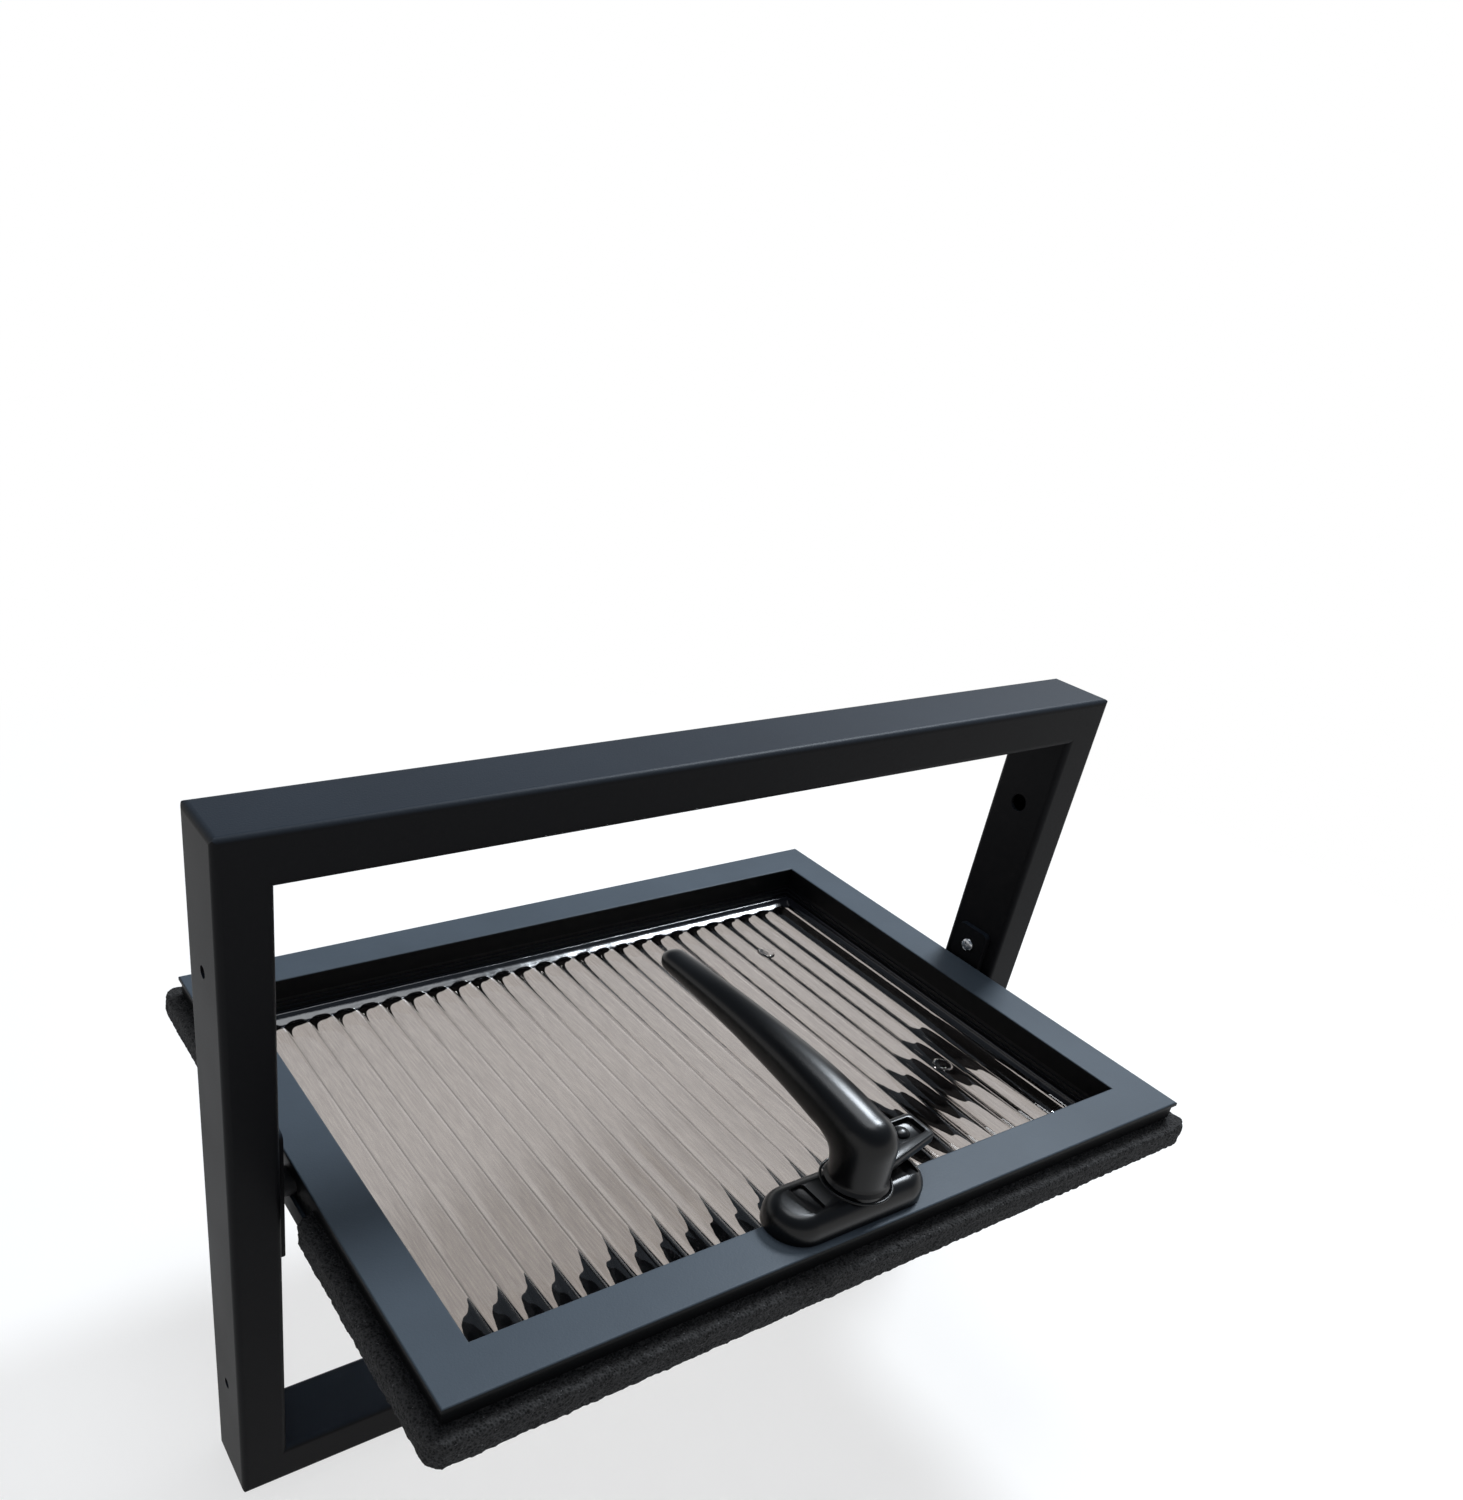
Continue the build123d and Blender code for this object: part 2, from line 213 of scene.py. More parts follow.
def add_rings(shape: Shape, rings: Rings, capped: bool = True) -> None:
    """Skin a row of closed rings that have the same number of points.

    Args:
        shape: The shape that the skin is added to.
        rings: The rings' points.
        capped: Whether the first and last rings are filled.
    """
    made = [[shape.verts.new(point) for point in ring] for ring in rings]
    for first, second in zip(made, made[1:]):
        for index in range(len(first)):
            after = (index + 1) % len(first)
            shape.faces.new((first[index], first[after], second[after], second[index]))
    if capped:
        shape.faces.new(list(reversed(made[0])))
        shape.faces.new(made[-1])


def skinned_mesh(name: str, rings: Rings, sharp: float = SHARP_ANGLE) -> Mesh:
    """Make a mesh of one row of rings.

    Args:
        name: The mesh's name.
        rings: The rings' points.
        sharp: The angle in degrees from which an edge stays sharp.

    Returns:
        The mesh.
    """
    shape = bmesh.new()
    add_rings(shape, rings)
    return close_mesh(shape, name, sharp)


def stacked_rings(place: Matrix, layers: list[tuple[list[Spot], float]]) -> Rings:
    """Rings of flat outlines at their heights, which start from the given place."""
    return [[place @ Vector((x, y, level)) for x, y in outline] for outline, level in layers]


def plate_rings(outline: list[Spot], low: float, high: float, edge: float, place: Matrix) -> Rings:
    """The rings of a flat plate whose upper and lower edges are eased.

    Args:
        outline: The plate's outline, anticlockwise.
        low: The height of its underside.
        high: The height of its top.
        edge: How far the edges are eased.
        place: Where the plate lies.

    Returns:
        The rings, from the underside to the top.
    """
    spots = [Vector(spot) for spot in outline]
    count = len(spots)
    inward = []
    for index in range(count):
        chord = spots[(index + 1) % count] - spots[index - 1]
        inward.append(Vector((-chord.y, chord.x)).normalized())
    middle = edge * EASED_MIDDLE
    levels = [(edge, low), (middle, low + middle), (0.0, low + edge), (0.0, high - edge),
              (middle, high - middle), (edge, high)]
    return stacked_rings(place, [
        ([spot + side * inset for spot, side in zip(spots, inward)], level) for inset, level in levels
    ])


@dataclass(frozen=True)
class Layer:
    """One layer of noise, and the band of its values that is spread out from none to all."""

    scale: float
    detail: float = 2.0
    roughness: float = 0.5
    band: Spot = (0.0, 1.0)


class Tree:
    """A node tree that is being filled, with short calls for the nodes that the finishes use."""

    def __init__(self, tree: NodeTree) -> None:
        """Start from a material's tree or a group's tree."""
        self.tree = tree

    def add(self, kind: str, **values: object) -> Node:
        """Add a node and set its properties and sockets.

        Args:
            kind: The node's type name.
            values: Property values by name, or socket values by the socket's name with underscores.

        Returns:
            The new node.
        """
        node = self.tree.nodes.new(kind)
        for key, value in values.items():
            if hasattr(node, key):
                setattr(node, key, value)
            else:
                self.tune(node, **{key: value})
        return node

    def tune(self, node: Node, **values: object) -> None:
        """Set or join a node's sockets.

        Args:
            node: The node.
            values: Socket values by the socket's name with underscores.
        """
        for key, value in values.items():
            self.fill(node.inputs[key.replace("_", " ")], value)

    def fill(self, socket: Socket, value: object) -> None:
        """Join one socket to another, or set its value.

        Args:
            socket: The socket that is filled.
            value: A socket or a plain value.
        """
        if isinstance(value, Socket):
            self.link(value, socket)
        else:
            socket.default_value = value

    def link(self, start: Socket, end: Socket) -> None:
        """Join two sockets."""
        self.tree.links.new(start, end)

    def place(self, stretch: Point | None = None) -> Socket:
        """Give the coordinates on the window.

        Args:
            stretch: How many times longer what is drawn with them is, along each axis.

        Returns:
            The coordinates.
        """
        place = self.add("ShaderNodeTexCoord").outputs["Object"]
        if stretch is None:
            return place
        return self.add("ShaderNodeMapping", vector_type="TEXTURE", Vector=place, Scale=stretch).outputs[0]

    def noise(self, place: Socket, layer: Layer) -> Socket:
        """Add a noise texture and give its plain value."""
        return self.add("ShaderNodeTexNoise", Vector=place, Scale=layer.scale, Detail=layer.detail,
                        Roughness=layer.roughness).outputs["Fac"]

    def mask(self, place: Socket, layer: Layer, start: float = 0.0, end: float = 1.0) -> Socket:
        """Add a noise texture with its band spread out from start to end."""
        return self.ramp(self.noise(place, layer), *layer.band, start, end)

    def emboss(self, shader: Node, height: Socket, distance: float, strength: float) -> None:
        """Give a shader a bump that is so high at most, and counts by its strength."""
        bump = self.add("ShaderNodeBump", Height=height, Distance=distance, Strength=strength)
        self.link(bump.outputs["Normal"], shader.inputs["Normal"])

    def ramp(self, value: Socket, low: float, high: float, start: float = 0.0, end: float = 1.0) -> Socket:
        """Spread values between low and high out from start to end, and clamp them."""
        return self.add("ShaderNodeMapRange", clamp=True, Value=value, From_Min=low, From_Max=high,
                        To_Min=start, To_Max=end).outputs["Result"]

    def math(self, operation: str, first: Socket, second: Socket | float = 0.0) -> Socket:
        """Add a math node.

        Args:
            operation: The operation's name.
            first: The first value.
            second: The second value or number.

        Returns:
            Its result.
        """
        node = self.add("ShaderNodeMath", operation=operation)
        for socket, value in zip(node.inputs, (first, second)):
            self.fill(socket, value)
        return node.outputs[0]

    def mix(self, factor: Socket, first: object, second: object) -> Socket:
        """Mix two colours.

        Args:
            factor: How much of the second.
            first: A colour or a socket.
            second: A colour or a socket.

        Returns:
            The mixed colour.
        """
        node = self.add("ShaderNodeMix", data_type="RGBA")
        self.link(factor, node.inputs[0])
        for socket, value in zip(node.inputs[6:8], (first, second)):
            self.fill(socket, value if isinstance(value, Socket) else (*value, 1.0))
        return node.outputs[2]


class EffectGroups:
    """The effects that more than one finish uses, each one node group, built once."""

    peel = Layer(900.0, 3.0, 0.55)
    broad = Layer(18.0, 3.0)
    # The patches, the thinnest patch and the upward band shape the painted sheen on faces that look up.
    patches = Layer(22.0, 6.0, 0.62, (0.25, 0.75))
    thinnest_patch = 0.82
    upward_band = (0.35, 0.95)
    rub_lines = Layer(340.0, 4.0, 0.7, (0.62, 0.80))
    rub_places = Layer(14.0, 2.0, 0.5, (0.48, 0.70))
    rub_stretch = (9.0, 1.0, 1.3)

    def __init__(self) -> None:
        """Build every group."""
        self.coat_grain = self._coat_grain()
        self.painted_top_sheen = self._painted_top_sheen()
        self.fine_scuffs = self._fine_scuffs()

    @staticmethod
    def _open(name: str, inputs: dict[str, float], outputs: tuple[str, ...],
              ) -> tuple[NodeTree, Tree, Node, Node]:
        """Start a group with its sockets, which all hold one number.

        Args:
            name: The group's name.
            inputs: The group's inputs and their usual values.
            outputs: The group's outputs.

        Returns:
            The group, its tree helper, its input node and its output node.
        """
        group = bpy.data.node_groups.new(name, "ShaderNodeTree")
        for port, usual in inputs.items():
            socket = group.interface.new_socket(port, in_out="INPUT", socket_type="NodeSocketFloat")
            socket.default_value = usual
        for port in outputs:
            group.interface.new_socket(port, in_out="OUTPUT", socket_type="NodeSocketFloat")
        tree = Tree(group)
        return group, tree, tree.add("NodeGroupInput"), tree.add("NodeGroupOutput")

    def _coat_grain(self) -> NodeTree:
        """The orange-peel grain of a baked coat: a height and a small change of roughness."""
        usual = {"Scale": self.peel.scale, "Roughness": 0.4, "Spread": 0.05}
        group, tree, given, result = self._open("coat_grain", usual, ("Height", "Roughness"))
        place = tree.place()
        peel = tree.add("ShaderNodeTexNoise", Vector=place, Scale=given.outputs["Scale"],
                        Detail=self.peel.detail, Roughness=self.peel.roughness)
        centred = tree.math("SUBTRACT", tree.noise(place, self.broad), 0.5)
        change = tree.math("MULTIPLY", centred, given.outputs["Spread"])
        tree.tune(result, Height=peel.outputs["Fac"],
                  Roughness=tree.math("ADD", change, given.outputs["Roughness"]))
        return group

    def _painted_top_sheen(self) -> NodeTree:
        """A mask of painted sheen on faces that look up, a little uneven: a painted reflection of the dim
        sky overhead.
        """
        group, tree, given, result = self._open("painted_top_sheen", {"Amount": 0.2}, ("Mask",))
        # Painted sheen: upward faces are lightened in uneven patches, standing in for the reflection of the
        # dim sky overhead.
        facing = tree.add("ShaderNodeNewGeometry").outputs["Normal"]
        upward = tree.ramp(tree.add("ShaderNodeSeparateXYZ", Vector=facing).outputs["Z"], *self.upward_band)
        patches = tree.mask(tree.place(), self.patches, self.thinnest_patch)
        on_top = tree.math("MULTIPLY", patches, upward)
        tree.link(tree.math("MULTIPLY", on_top, given.outputs["Amount"]), result.inputs["Mask"])
        return group

    def _fine_scuffs(self) -> NodeTree:
        """A mask of faint long rub marks."""
        group, tree, given, result = self._open("fine_scuffs", {"Amount": 0.2}, ("Mask",))
        lines = tree.mask(tree.place(self.rub_stretch), self.rub_lines)
        where = tree.mask(tree.place(), self.rub_places)
        marks = tree.math("MULTIPLY", lines, where)
        tree.link(tree.math("MULTIPLY", marks, given.outputs["Amount"]), result.inputs["Mask"])
        return group


def start_material(name: str) -> tuple[Material, Tree, Node]:
    """Start a material.

    Args:
        name: Its name.

    Returns:
        The material, its tree helper and its shader.
    """
    material = bpy.data.materials.new(name)
    material.use_nodes = True
    return material, Tree(material.node_tree), material.node_tree.nodes["Principled BSDF"]


@dataclass(frozen=True)
class CoatFinish:
    """A baked coat on metal, with its grain, painted sheen on faces that look up, and faint rub marks."""

    name: str
    colour: Colour
    painted_sheen_colour: Colour
    worn_colour: Colour
    roughness: float
    spread: float
    grain_scale: float
    grain_height: float
    painted_sheen: float
    scuffs: float
    specular: float
    scuff_roughness: float = 0.5

    def build(self, groups: EffectGroups) -> Material:
        """Build the material.

        Args:
            groups: The shared effects.

        Returns:
            The material.
        """
        material, tree, shader = start_material(self.name)
        shader.inputs["Specular IOR Level"].default_value = self.specular
        grain = tree.add("ShaderNodeGroup", node_tree=groups.coat_grain)
        tree.tune(grain, Scale=self.grain_scale, Roughness=self.roughness, Spread=self.spread)
        painted_sheen = tree.add("ShaderNodeGroup", node_tree=groups.painted_top_sheen)
        tree.tune(painted_sheen, Amount=self.painted_sheen)
        scuffs = tree.add("ShaderNodeGroup", node_tree=groups.fine_scuffs)
        tree.tune(scuffs, Amount=self.scuffs)
        # Painted sheen: a pale blue-grey is mixed in on faces that look up, standing in for the sky's
        # reflection.
        with_painted_sheen = tree.mix(painted_sheen.outputs["Mask"], self.colour, self.painted_sheen_colour)
        rougher = tree.math("MULTIPLY", scuffs.outputs["Mask"], self.scuff_roughness)
        tree.tune(shader, Base_Color=tree.mix(scuffs.outputs["Mask"], with_painted_sheen, self.worn_colour),
                  Roughness=tree.math("ADD", grain.outputs["Roughness"], rougher))
        tree.emboss(shader, grain.outputs["Height"], self.grain_height, 1.0)
        return material


@dataclass(frozen=True)
class FoamFinish:
    """Coarse open foam, with painted shade in its pores."""

    name: str
    colour: Colour
    pore_shade_colour: Colour
    fleck_colour: Colour
    cell_scale: float = 1100.0
    clumps: Layer = Layer(420.0, 5.0, 0.65)
    flecks: Layer = Layer(900.0, 3.0, 0.7, (0.62, 0.74))
    shade_band: Spot = (0.6, 1.2)
    relief: float = 0.6 * MM
    relief_strength: float = 0.9

    def build(self) -> Material:
        """Build the material.

        Returns:
            The material.
        """
        material, tree, shader = start_material(self.name)
        place = tree.place()
        cells = tree.add("ShaderNodeTexVoronoi", Vector=place, Scale=self.cell_scale)
        height = tree.math("ADD", cells.outputs["Distance"], tree.noise(place, self.clumps))
        # Painted shade: the foam is darkened to the pore colour where the cell pattern sinks.
        body = tree.mix(tree.ramp(height, *self.shade_band), self.pore_shade_colour, self.colour)
        tree.tune(shader, Base_Color=tree.mix(tree.mask(place, self.flecks), body, self.fleck_colour),
                  Roughness=0.95, Specular_IOR_Level=0.2)
        tree.emboss(shader, height, self.relief, self.relief_strength)
        return material


@dataclass(frozen=True)
class GlassFinish:
    """Glass with a slight waviness and faint lengthwise streaks; its colour, clear or tinted, is given by
    each finish.
    """

    name: str
    colour: Colour
    streak_colour: Colour
    ripple: float
    ripple_strength: float = 0.5
    refraction: float = 1.52
    streaks: Layer = Layer(1400.0, 3.0, 0.65, (0.36, 0.64))
    streak_stretch: Point = (1.0, 16.0, 1.0)
    waves: Layer = Layer(60.0)

    def build(self) -> Material:
        """Build the material.

        Returns:
            The material.
        """
        material, tree, shader = start_material(self.name)
        streaks = tree.mask(tree.place(self.streak_stretch), self.streaks)
        body = tree.mix(streaks, self.colour, self.streak_colour)
        tree.tune(shader, Base_Color=self._tint(tree, body), Roughness=0.0, IOR=self.refraction,
                  Transmission_Weight=1.0)
        tree.emboss(shader, tree.noise(tree.place(), self.waves), self.ripple, self.ripple_strength)
        return material

    def _tint(self, tree: Tree, body: Socket) -> Socket:
        """The glass's colour, which is even where the glass has no flutes."""
        return body


@dataclass(frozen=True)
class ReededFinish(GlassFinish):
    """Glass with flutes on its room side, with painted shade: a thin dark line along each valley, standing
    in for the dark lines that refraction draws there.
    """

    valley_shade_colour: Colour = (0.10, 0.09, 0.085)
    valley_shade_share: float = 0.05

    def _tint(self, tree: Tree, body: Socket) -> Socket:
        """Paint shade into the valleys of the flutes.

        Args:
            tree: The material's tree.
            body: The glass's colour.

        Returns:
            The colour with its lines.
        """
        low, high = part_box("glass_pane")
        parts = tree.add("ShaderNodeSeparateXYZ", Vector=tree.place())
        across = tree.ramp(parts.outputs["X"], low.x, high.x, 0.0, FLUTE_COUNT)
        away = tree.math("ABSOLUTE", tree.math("SUBTRACT", tree.math("FRACT", across), 0.5))
        # Painted shade: a thin dark line along each flute's valley on the room side.
        line = tree.ramp(away, 0.5 - self.valley_shade_share, 0.5)
        room_side = tree.ramp(parts.outputs["Z"], low.z, low.z + MM)
        return tree.mix(tree.math("MULTIPLY", line, room_side), body, self.valley_shade_colour)


@dataclass(frozen=True)
class PlainFinish:
    """A smooth material with a small change of roughness, such as sealant, rubber or bare steel."""

    name: str
    colour: Colour
    roughness: float
    metallic: float = 0.0
    bump: float = 0.2 * MM
    grain: Layer = Layer(300.0, 3.0, 0.5, (0.3, 0.7))
    roughness_spread: Spot = (0.8, 1.25)
    bump_strength: float = 0.6

    def build(self) -> Material:
        """Build the material.

        Returns:
            The material.
        """
        material, tree, shader = start_material(self.name)
        low, high = (self.roughness * share for share in self.roughness_spread)
        grain = tree.noise(tree.place(), self.grain)
        tree.tune(shader, Base_Color=(*self.colour, 1.0), Metallic=self.metallic,
                  Roughness=tree.ramp(grain, *self.grain.band, low, high))
        tree.emboss(shader, grain, self.bump, self.bump_strength)
        return material


class Finishes:
    """Every material of the window, built once."""

    def __init__(self) -> None:
        """Build the materials."""
        groups = EffectGroups()
        # Painted sheen colours and amounts differ per coat: weaker on the frame than on the sash, so the
        # frame's top reads darker than the sash's.
        self.frame = CoatFinish(
            "frame_powder_coat", (0.0066, 0.0066, 0.0074), (0.019, 0.025, 0.034), (0.05, 0.05, 0.05),
            roughness=0.46, spread=0.10, grain_scale=1300.0, grain_height=0.05 * MM, painted_sheen=1.0, scuffs=0.05,
            specular=0.06,
        ).build(groups)
        self.sash = CoatFinish(
            "sash_powder_coat", (0.0035, 0.0037, 0.0042), (0.056, 0.071, 0.088), (0.05, 0.05, 0.05),
            roughness=0.44, spread=0.10, grain_scale=1300.0, grain_height=0.05 * MM, painted_sheen=1.0, scuffs=0.06,
            specular=0.10,
        ).build(groups)
        self.bead = CoatFinish(
            "bead_powder_coat", (0.0035, 0.0036, 0.0042), (0.010, 0.012, 0.016), (0.03, 0.03, 0.03),
            roughness=0.36, spread=0.08, grain_scale=1500.0, grain_height=0.04 * MM, painted_sheen=0.6, scuffs=0.05,
            specular=0.2,
        ).build(groups)
        self.handle = CoatFinish(
            "handle_enamel", (0.0018, 0.0018, 0.0021), (0.004, 0.0045, 0.0055), (0.03, 0.03, 0.03),
            roughness=0.29, spread=0.06, grain_scale=900.0, grain_height=0.02 * MM, painted_sheen=0.5, scuffs=0.03,
            specular=0.26,
        ).build(groups)
        # The foam's second colour is painted shade for its pores.
        self.foam = FoamFinish(
            "weather_foam", (0.033, 0.032, 0.032), (0.005, 0.005, 0.005), (0.12, 0.117, 0.118)).build()
        # The pane's dark warm tint is painted shade: it stands in for the shaded, brownish ground seen
        # through clear glass.
        self.glass = ReededFinish(
            "reeded_glass", (0.355, 0.318, 0.295), (0.46, 0.415, 0.38), 0.2 * MM).build()
        self.clear_drop = GlassFinish(
            "clear_drop", (0.95, 0.95, 0.95), (0.95, 0.95, 0.95), 0.3 * MM).build()
        self.sealant = PlainFinish(
            "black_sealant", (0.006, 0.0065, 0.009), 0.20, bump=0.3 * MM,
            grain=Layer(160.0, 3.0, 0.5, (0.3, 0.7))).build()
        self.gasket = PlainFinish("gasket_rubber", (0.012, 0.012, 0.013), 0.6).build()
        self.washer = PlainFinish("washer_plastic", (0.03, 0.03, 0.03), 0.5).build()
        self.steel = PlainFinish(
            "zinc_screw", (0.55, 0.56, 0.58), 0.28, metallic=1.0, bump=0.02 * MM).build()
        self.pin = PlainFinish("pivot_pin_zinc", (0.012, 0.012, 0.013), 0.42, bump=0.04 * MM).build()


def new_piece(name: str, mesh: Mesh, material: Material) -> Piece:
    """Put a new piece on the window.

    Args:
        name: The piece's name.
        mesh: Its mesh, in the model's frame.
        material: Its material.

    Returns:
        The piece.
    """
    piece = bpy.data.objects.new(name, mesh)
    bpy.context.scene.collection.objects.link(piece)
    mesh.materials.clear()
    mesh.materials.append(material)
    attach(piece, "root")
    log.info("made %s with %d faces", name, len(mesh.polygons))
    return piece


def loose_object(name: str, mesh: Mesh) -> Piece:
    """Put a mesh in the scene while it is being worked on."""
    made = bpy.data.objects.new(name, mesh)
    bpy.context.scene.collection.objects.link(made)
    return made


def worked_mesh(worked: Piece) -> Mesh:
    """Take the mesh that an object's modifiers give, and remove the object.

    Args:
        worked: The object.

    Returns:
        The finished mesh.
    """
    seen = worked.evaluated_get(bpy.context.evaluated_depsgraph_get())
    mesh = bpy.data.meshes.new_from_object(seen)
    mesh.name = worked.name
    bpy.data.objects.remove(worked)
    return mesh


def carved_mesh(name: str, body: Mesh, cutter: Mesh, edge: float) -> Mesh:
    """Cut one shape out of another and ease the edges that this leaves.

    Args:
        name: The result's name.
        body: The shape that is cut.
        cutter: The shape that is taken out.
        edge: How far sharp edges are eased.

    Returns:
        The mesh.
    """
    whole = loose_object(name, body)
    tool = loose_object(f"{name}_cutter", cutter)
    cut = whole.modifiers.new("cut", "BOOLEAN")
    cut.operation, cut.solver, cut.object = "DIFFERENCE", "EXACT", tool
    ease = whole.modifiers.new("ease", "BEVEL")
    ease.width, ease.segments, ease.limit_method = edge, 2, "ANGLE"
    ease.angle_limit = math.radians(SHARP_ANGLE)
    mesh = worked_mesh(whole)
    bpy.data.objects.remove(tool)
    smooth_mesh(mesh, CARVED_ANGLE)
    return mesh


@dataclass
class Assembly:
    """A group of the window's pieces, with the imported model's nodes and the materials to wear."""

    nodes: Nodes
    finishes: Finishes

    def wear(self, names: tuple[str, ...], material: Material) -> None:
        """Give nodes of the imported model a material.

        Args:
            names: Which nodes.
            material: The material.
        """
        for name in names:
            mesh = self.nodes[name].data
            mesh.materials.clear()
            mesh.materials.append(material)
            log.info("dressed %s", name)


@dataclass
class OuterFrame(Assembly):
    """The fixed frame with its keeper."""

    members: tuple[str, ...] = ("frame_head", "frame_sill", "frame_left_stile", "frame_right_stile")
    keeper_edge: float = 0.8 * MM
    keeper_lead: float = 3.0 * MM
    lead_from: float = 1.5
    bow_steps: int = 24

    def dress(self) -> None:
        """Give the frame its coat and make the keeper."""
        self.wear(self.members, self.finishes.frame)
        keeper = new_piece("keeper_block", self._keeper_mesh(), self.finishes.handle)
        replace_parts(keeper, "keeper")

    def _keeper_mesh(self) -> Mesh:
        """The D-shaped keeper with eased edges and a ramp at its round end.

        Returns:
            The mesh.
        """
        low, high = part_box("keeper")
        middle_z, half_height = (low.z + high.z) / 2, (high.z - low.z) / 2
        flat = [(low.x, -half_height), (high.x - half_height, -half_height)]
        bow = arc_points((high.x - half_height, 0.0), half_height, -90, 90, self.bow_steps)
        outline = [*flat, *bow[1:], (low.x, half_height)]
        place = Matrix.Translation((0.0, high.y, middle_z)) @ Matrix.Rotation(math.radians(90), 4, "X")
        shape = bmesh.new()
        add_rings(shape, plate_rings(outline, 0.0, high.y - low.y, self.keeper_edge, place))
        for vertex in shape.verts:
            if vertex.co.y < low.y + self.keeper_edge * self.lead_from and vertex.co.x > 0:
                vertex.co.y += self.keeper_lead * vertex.co.x / high.x
        return close_mesh(shape, "keeper_block")


@dataclass
class Sash(Assembly):
    """The sash's bars and its glazing beads."""

    bars: tuple[str, ...] = ("sash_top_rail", "sash_bottom_rail", "sash_left_stile", "sash_right_stile")
    beads: tuple[str, ...] = ("bead_top", "bead_bottom", "bead_left", "bead_right")

    def dress(self) -> None:
        """Give the bars and beads their coats."""
        self.wear(self.bars, self.finishes.sash)
        self.wear(self.beads, self.finishes.bead)


@dataclass
class Glazing(Assembly):
    """The reeded pane with its sealant, its gasket and two clear drops left on the glass."""

    flute_rise: float = 1.0 * MM
    flute_flatness: float = 3.2
    steps_a_flute: int = 20
    sealant_rise: float = 3.4 * MM
    sealant_spread: float = 7.5 * MM
    side_spread: float = 2.6 * MM
    sealant_step: float = 1.0 * MM
    sealant_foot: float = 1.2
    ridge_profile: tuple[Spot, ...] = (
        (0.0, 0.46), (0.07, 0.50), (0.12, 0.60), (0.17, 0.68), (0.23, 0.70), (0.29, 0.64), (0.34, 0.50),
        (0.38, 0.36), (0.45, 0.24), (0.56, 0.12), (0.7, 0.02), (0.85, -0.10), (1.0, -0.32),
    )
    wander_scale: float = 90.0
    wander_gap: float = 3.0
    wander_reach: float = 0.10
    wander_rise: float = 0.12
    drops: tuple[Spot, ...] = ((0.106, 0.062), (0.120, -0.047))
    drop_radius: float = 4.0 * MM
    drop_sides: int = 28
    drop_stretch: float = 1.2
    drop_wobble: float = 0.22
    drop_gap: float = 5.0
    drop_profile: tuple[Spot, ...] = (
        (1.0, -0.5), (0.97, 0.1), (0.86, 0.5), (0.7, 0.62), (0.5, 0.45), (0.25, 0.5), (0.06, 0.7),
    )

    def build(self) -> None:
        """Make the pane, the sealant and the drops, and dress the gasket."""
        worn = self.finishes
        pane = new_piece("reeded_pane", self._pane_mesh(), worn.glass)
        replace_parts(pane, "glass_pane")
        sealant = new_piece("sealant_line", self._sealant_mesh(), worn.sealant)
        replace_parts(sealant, "glazing_sealant")
        new_piece("clear_drops", self._drop_mesh(), worn.clear_drop)
        self.wear(("glazing_gasket",), worn.gasket)

    def _crest(self) -> float:
        """The height of the flutes' crests."""
        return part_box("glass_pane")[1].z

    def _flute_drop(self, share: float) -> float:
        """How far the glass lies under its crest, from one valley at 0 to the next at 1."""
        return self.flute_rise * abs(2 * share - 1) ** self.flute_flatness

    def _pane_mesh(self) -> Mesh:
        """The pane: a flat back and rounded flutes on top, running towards the lever.

        Returns:
            The mesh.
        """
        low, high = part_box("glass_pane")
        count = FLUTE_COUNT * self.steps_a_flute
        shape = bmesh.new()
        rows: list[list[bmesh.types.BMVert]] = []
        for y in (low.y, high.y):
            row = []
            for step in range(count + 1):
                drop = self._flute_drop((step % self.steps_a_flute) / self.steps_a_flute)
                row.append(shape.verts.new((remap(step / count, low.x, high.x), y, high.z - drop)))
            rows.append(row)
            rows.append([shape.verts.new((low.x, y, low.z)), shape.verts.new((high.x, y, low.z))])
        near, near_back, far, far_back = rows
        for step in range(count):
            shape.faces.new((near[step], near[step + 1], far[step + 1], far[step]))
        shape.faces.new((near_back[0], far_back[0], far_back[1], near_back[1]))
        shape.faces.new([near_back[0], near_back[1], *reversed(near)])
        shape.faces.new([*far, far_back[1], far_back[0]])
        shape.faces.new((near_back[0], near[0], far[0], far_back[0]))
        shape.faces.new((near_back[1], far_back[1], far[-1], near[-1]))
        return close_mesh(shape, "reeded_pane", sharp=60)

    def _sealant_mesh(self) -> Mesh:
        """The line of sealant: a round ridge by the bead and a slope that runs out in the flutes' valleys.

        Returns:
            The mesh.
        """
        low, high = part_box("glazing_sealant")
        crest, foot = self._crest(), -self.flute_rise * self.sealant_foot
        count = round((high.x - low.x) / self.sealant_step)
        shape = bmesh.new()
        for index, side in enumerate(Side):
            start, end = (low.x, high.x) if side.across else (low.y, high.y)
            spread = self.sealant_spread if side.across else self.side_spread
            rings = []
            for step in range(count + 1):
                along = remap(step / count, start, end)
                wander = noise.noise(Vector((along * self.wander_scale, self.wander_gap * index, 0.0)))
                reach = spread * (1 + self.wander_reach * wander)
                rise = self.sealant_rise * (1 + self.wander_rise * wander)
                ridge = [(share * reach, level * rise) for share, level in self.ridge_profile]
                rings.append([Vector((*side.spot(along, out, low, high), crest + level))
                              for out, level in ((0.0, foot), *ridge, (reach, foot))])
            add_rings(shape, rings)
        return close_mesh(shape, "sealant_line", sharp=60)

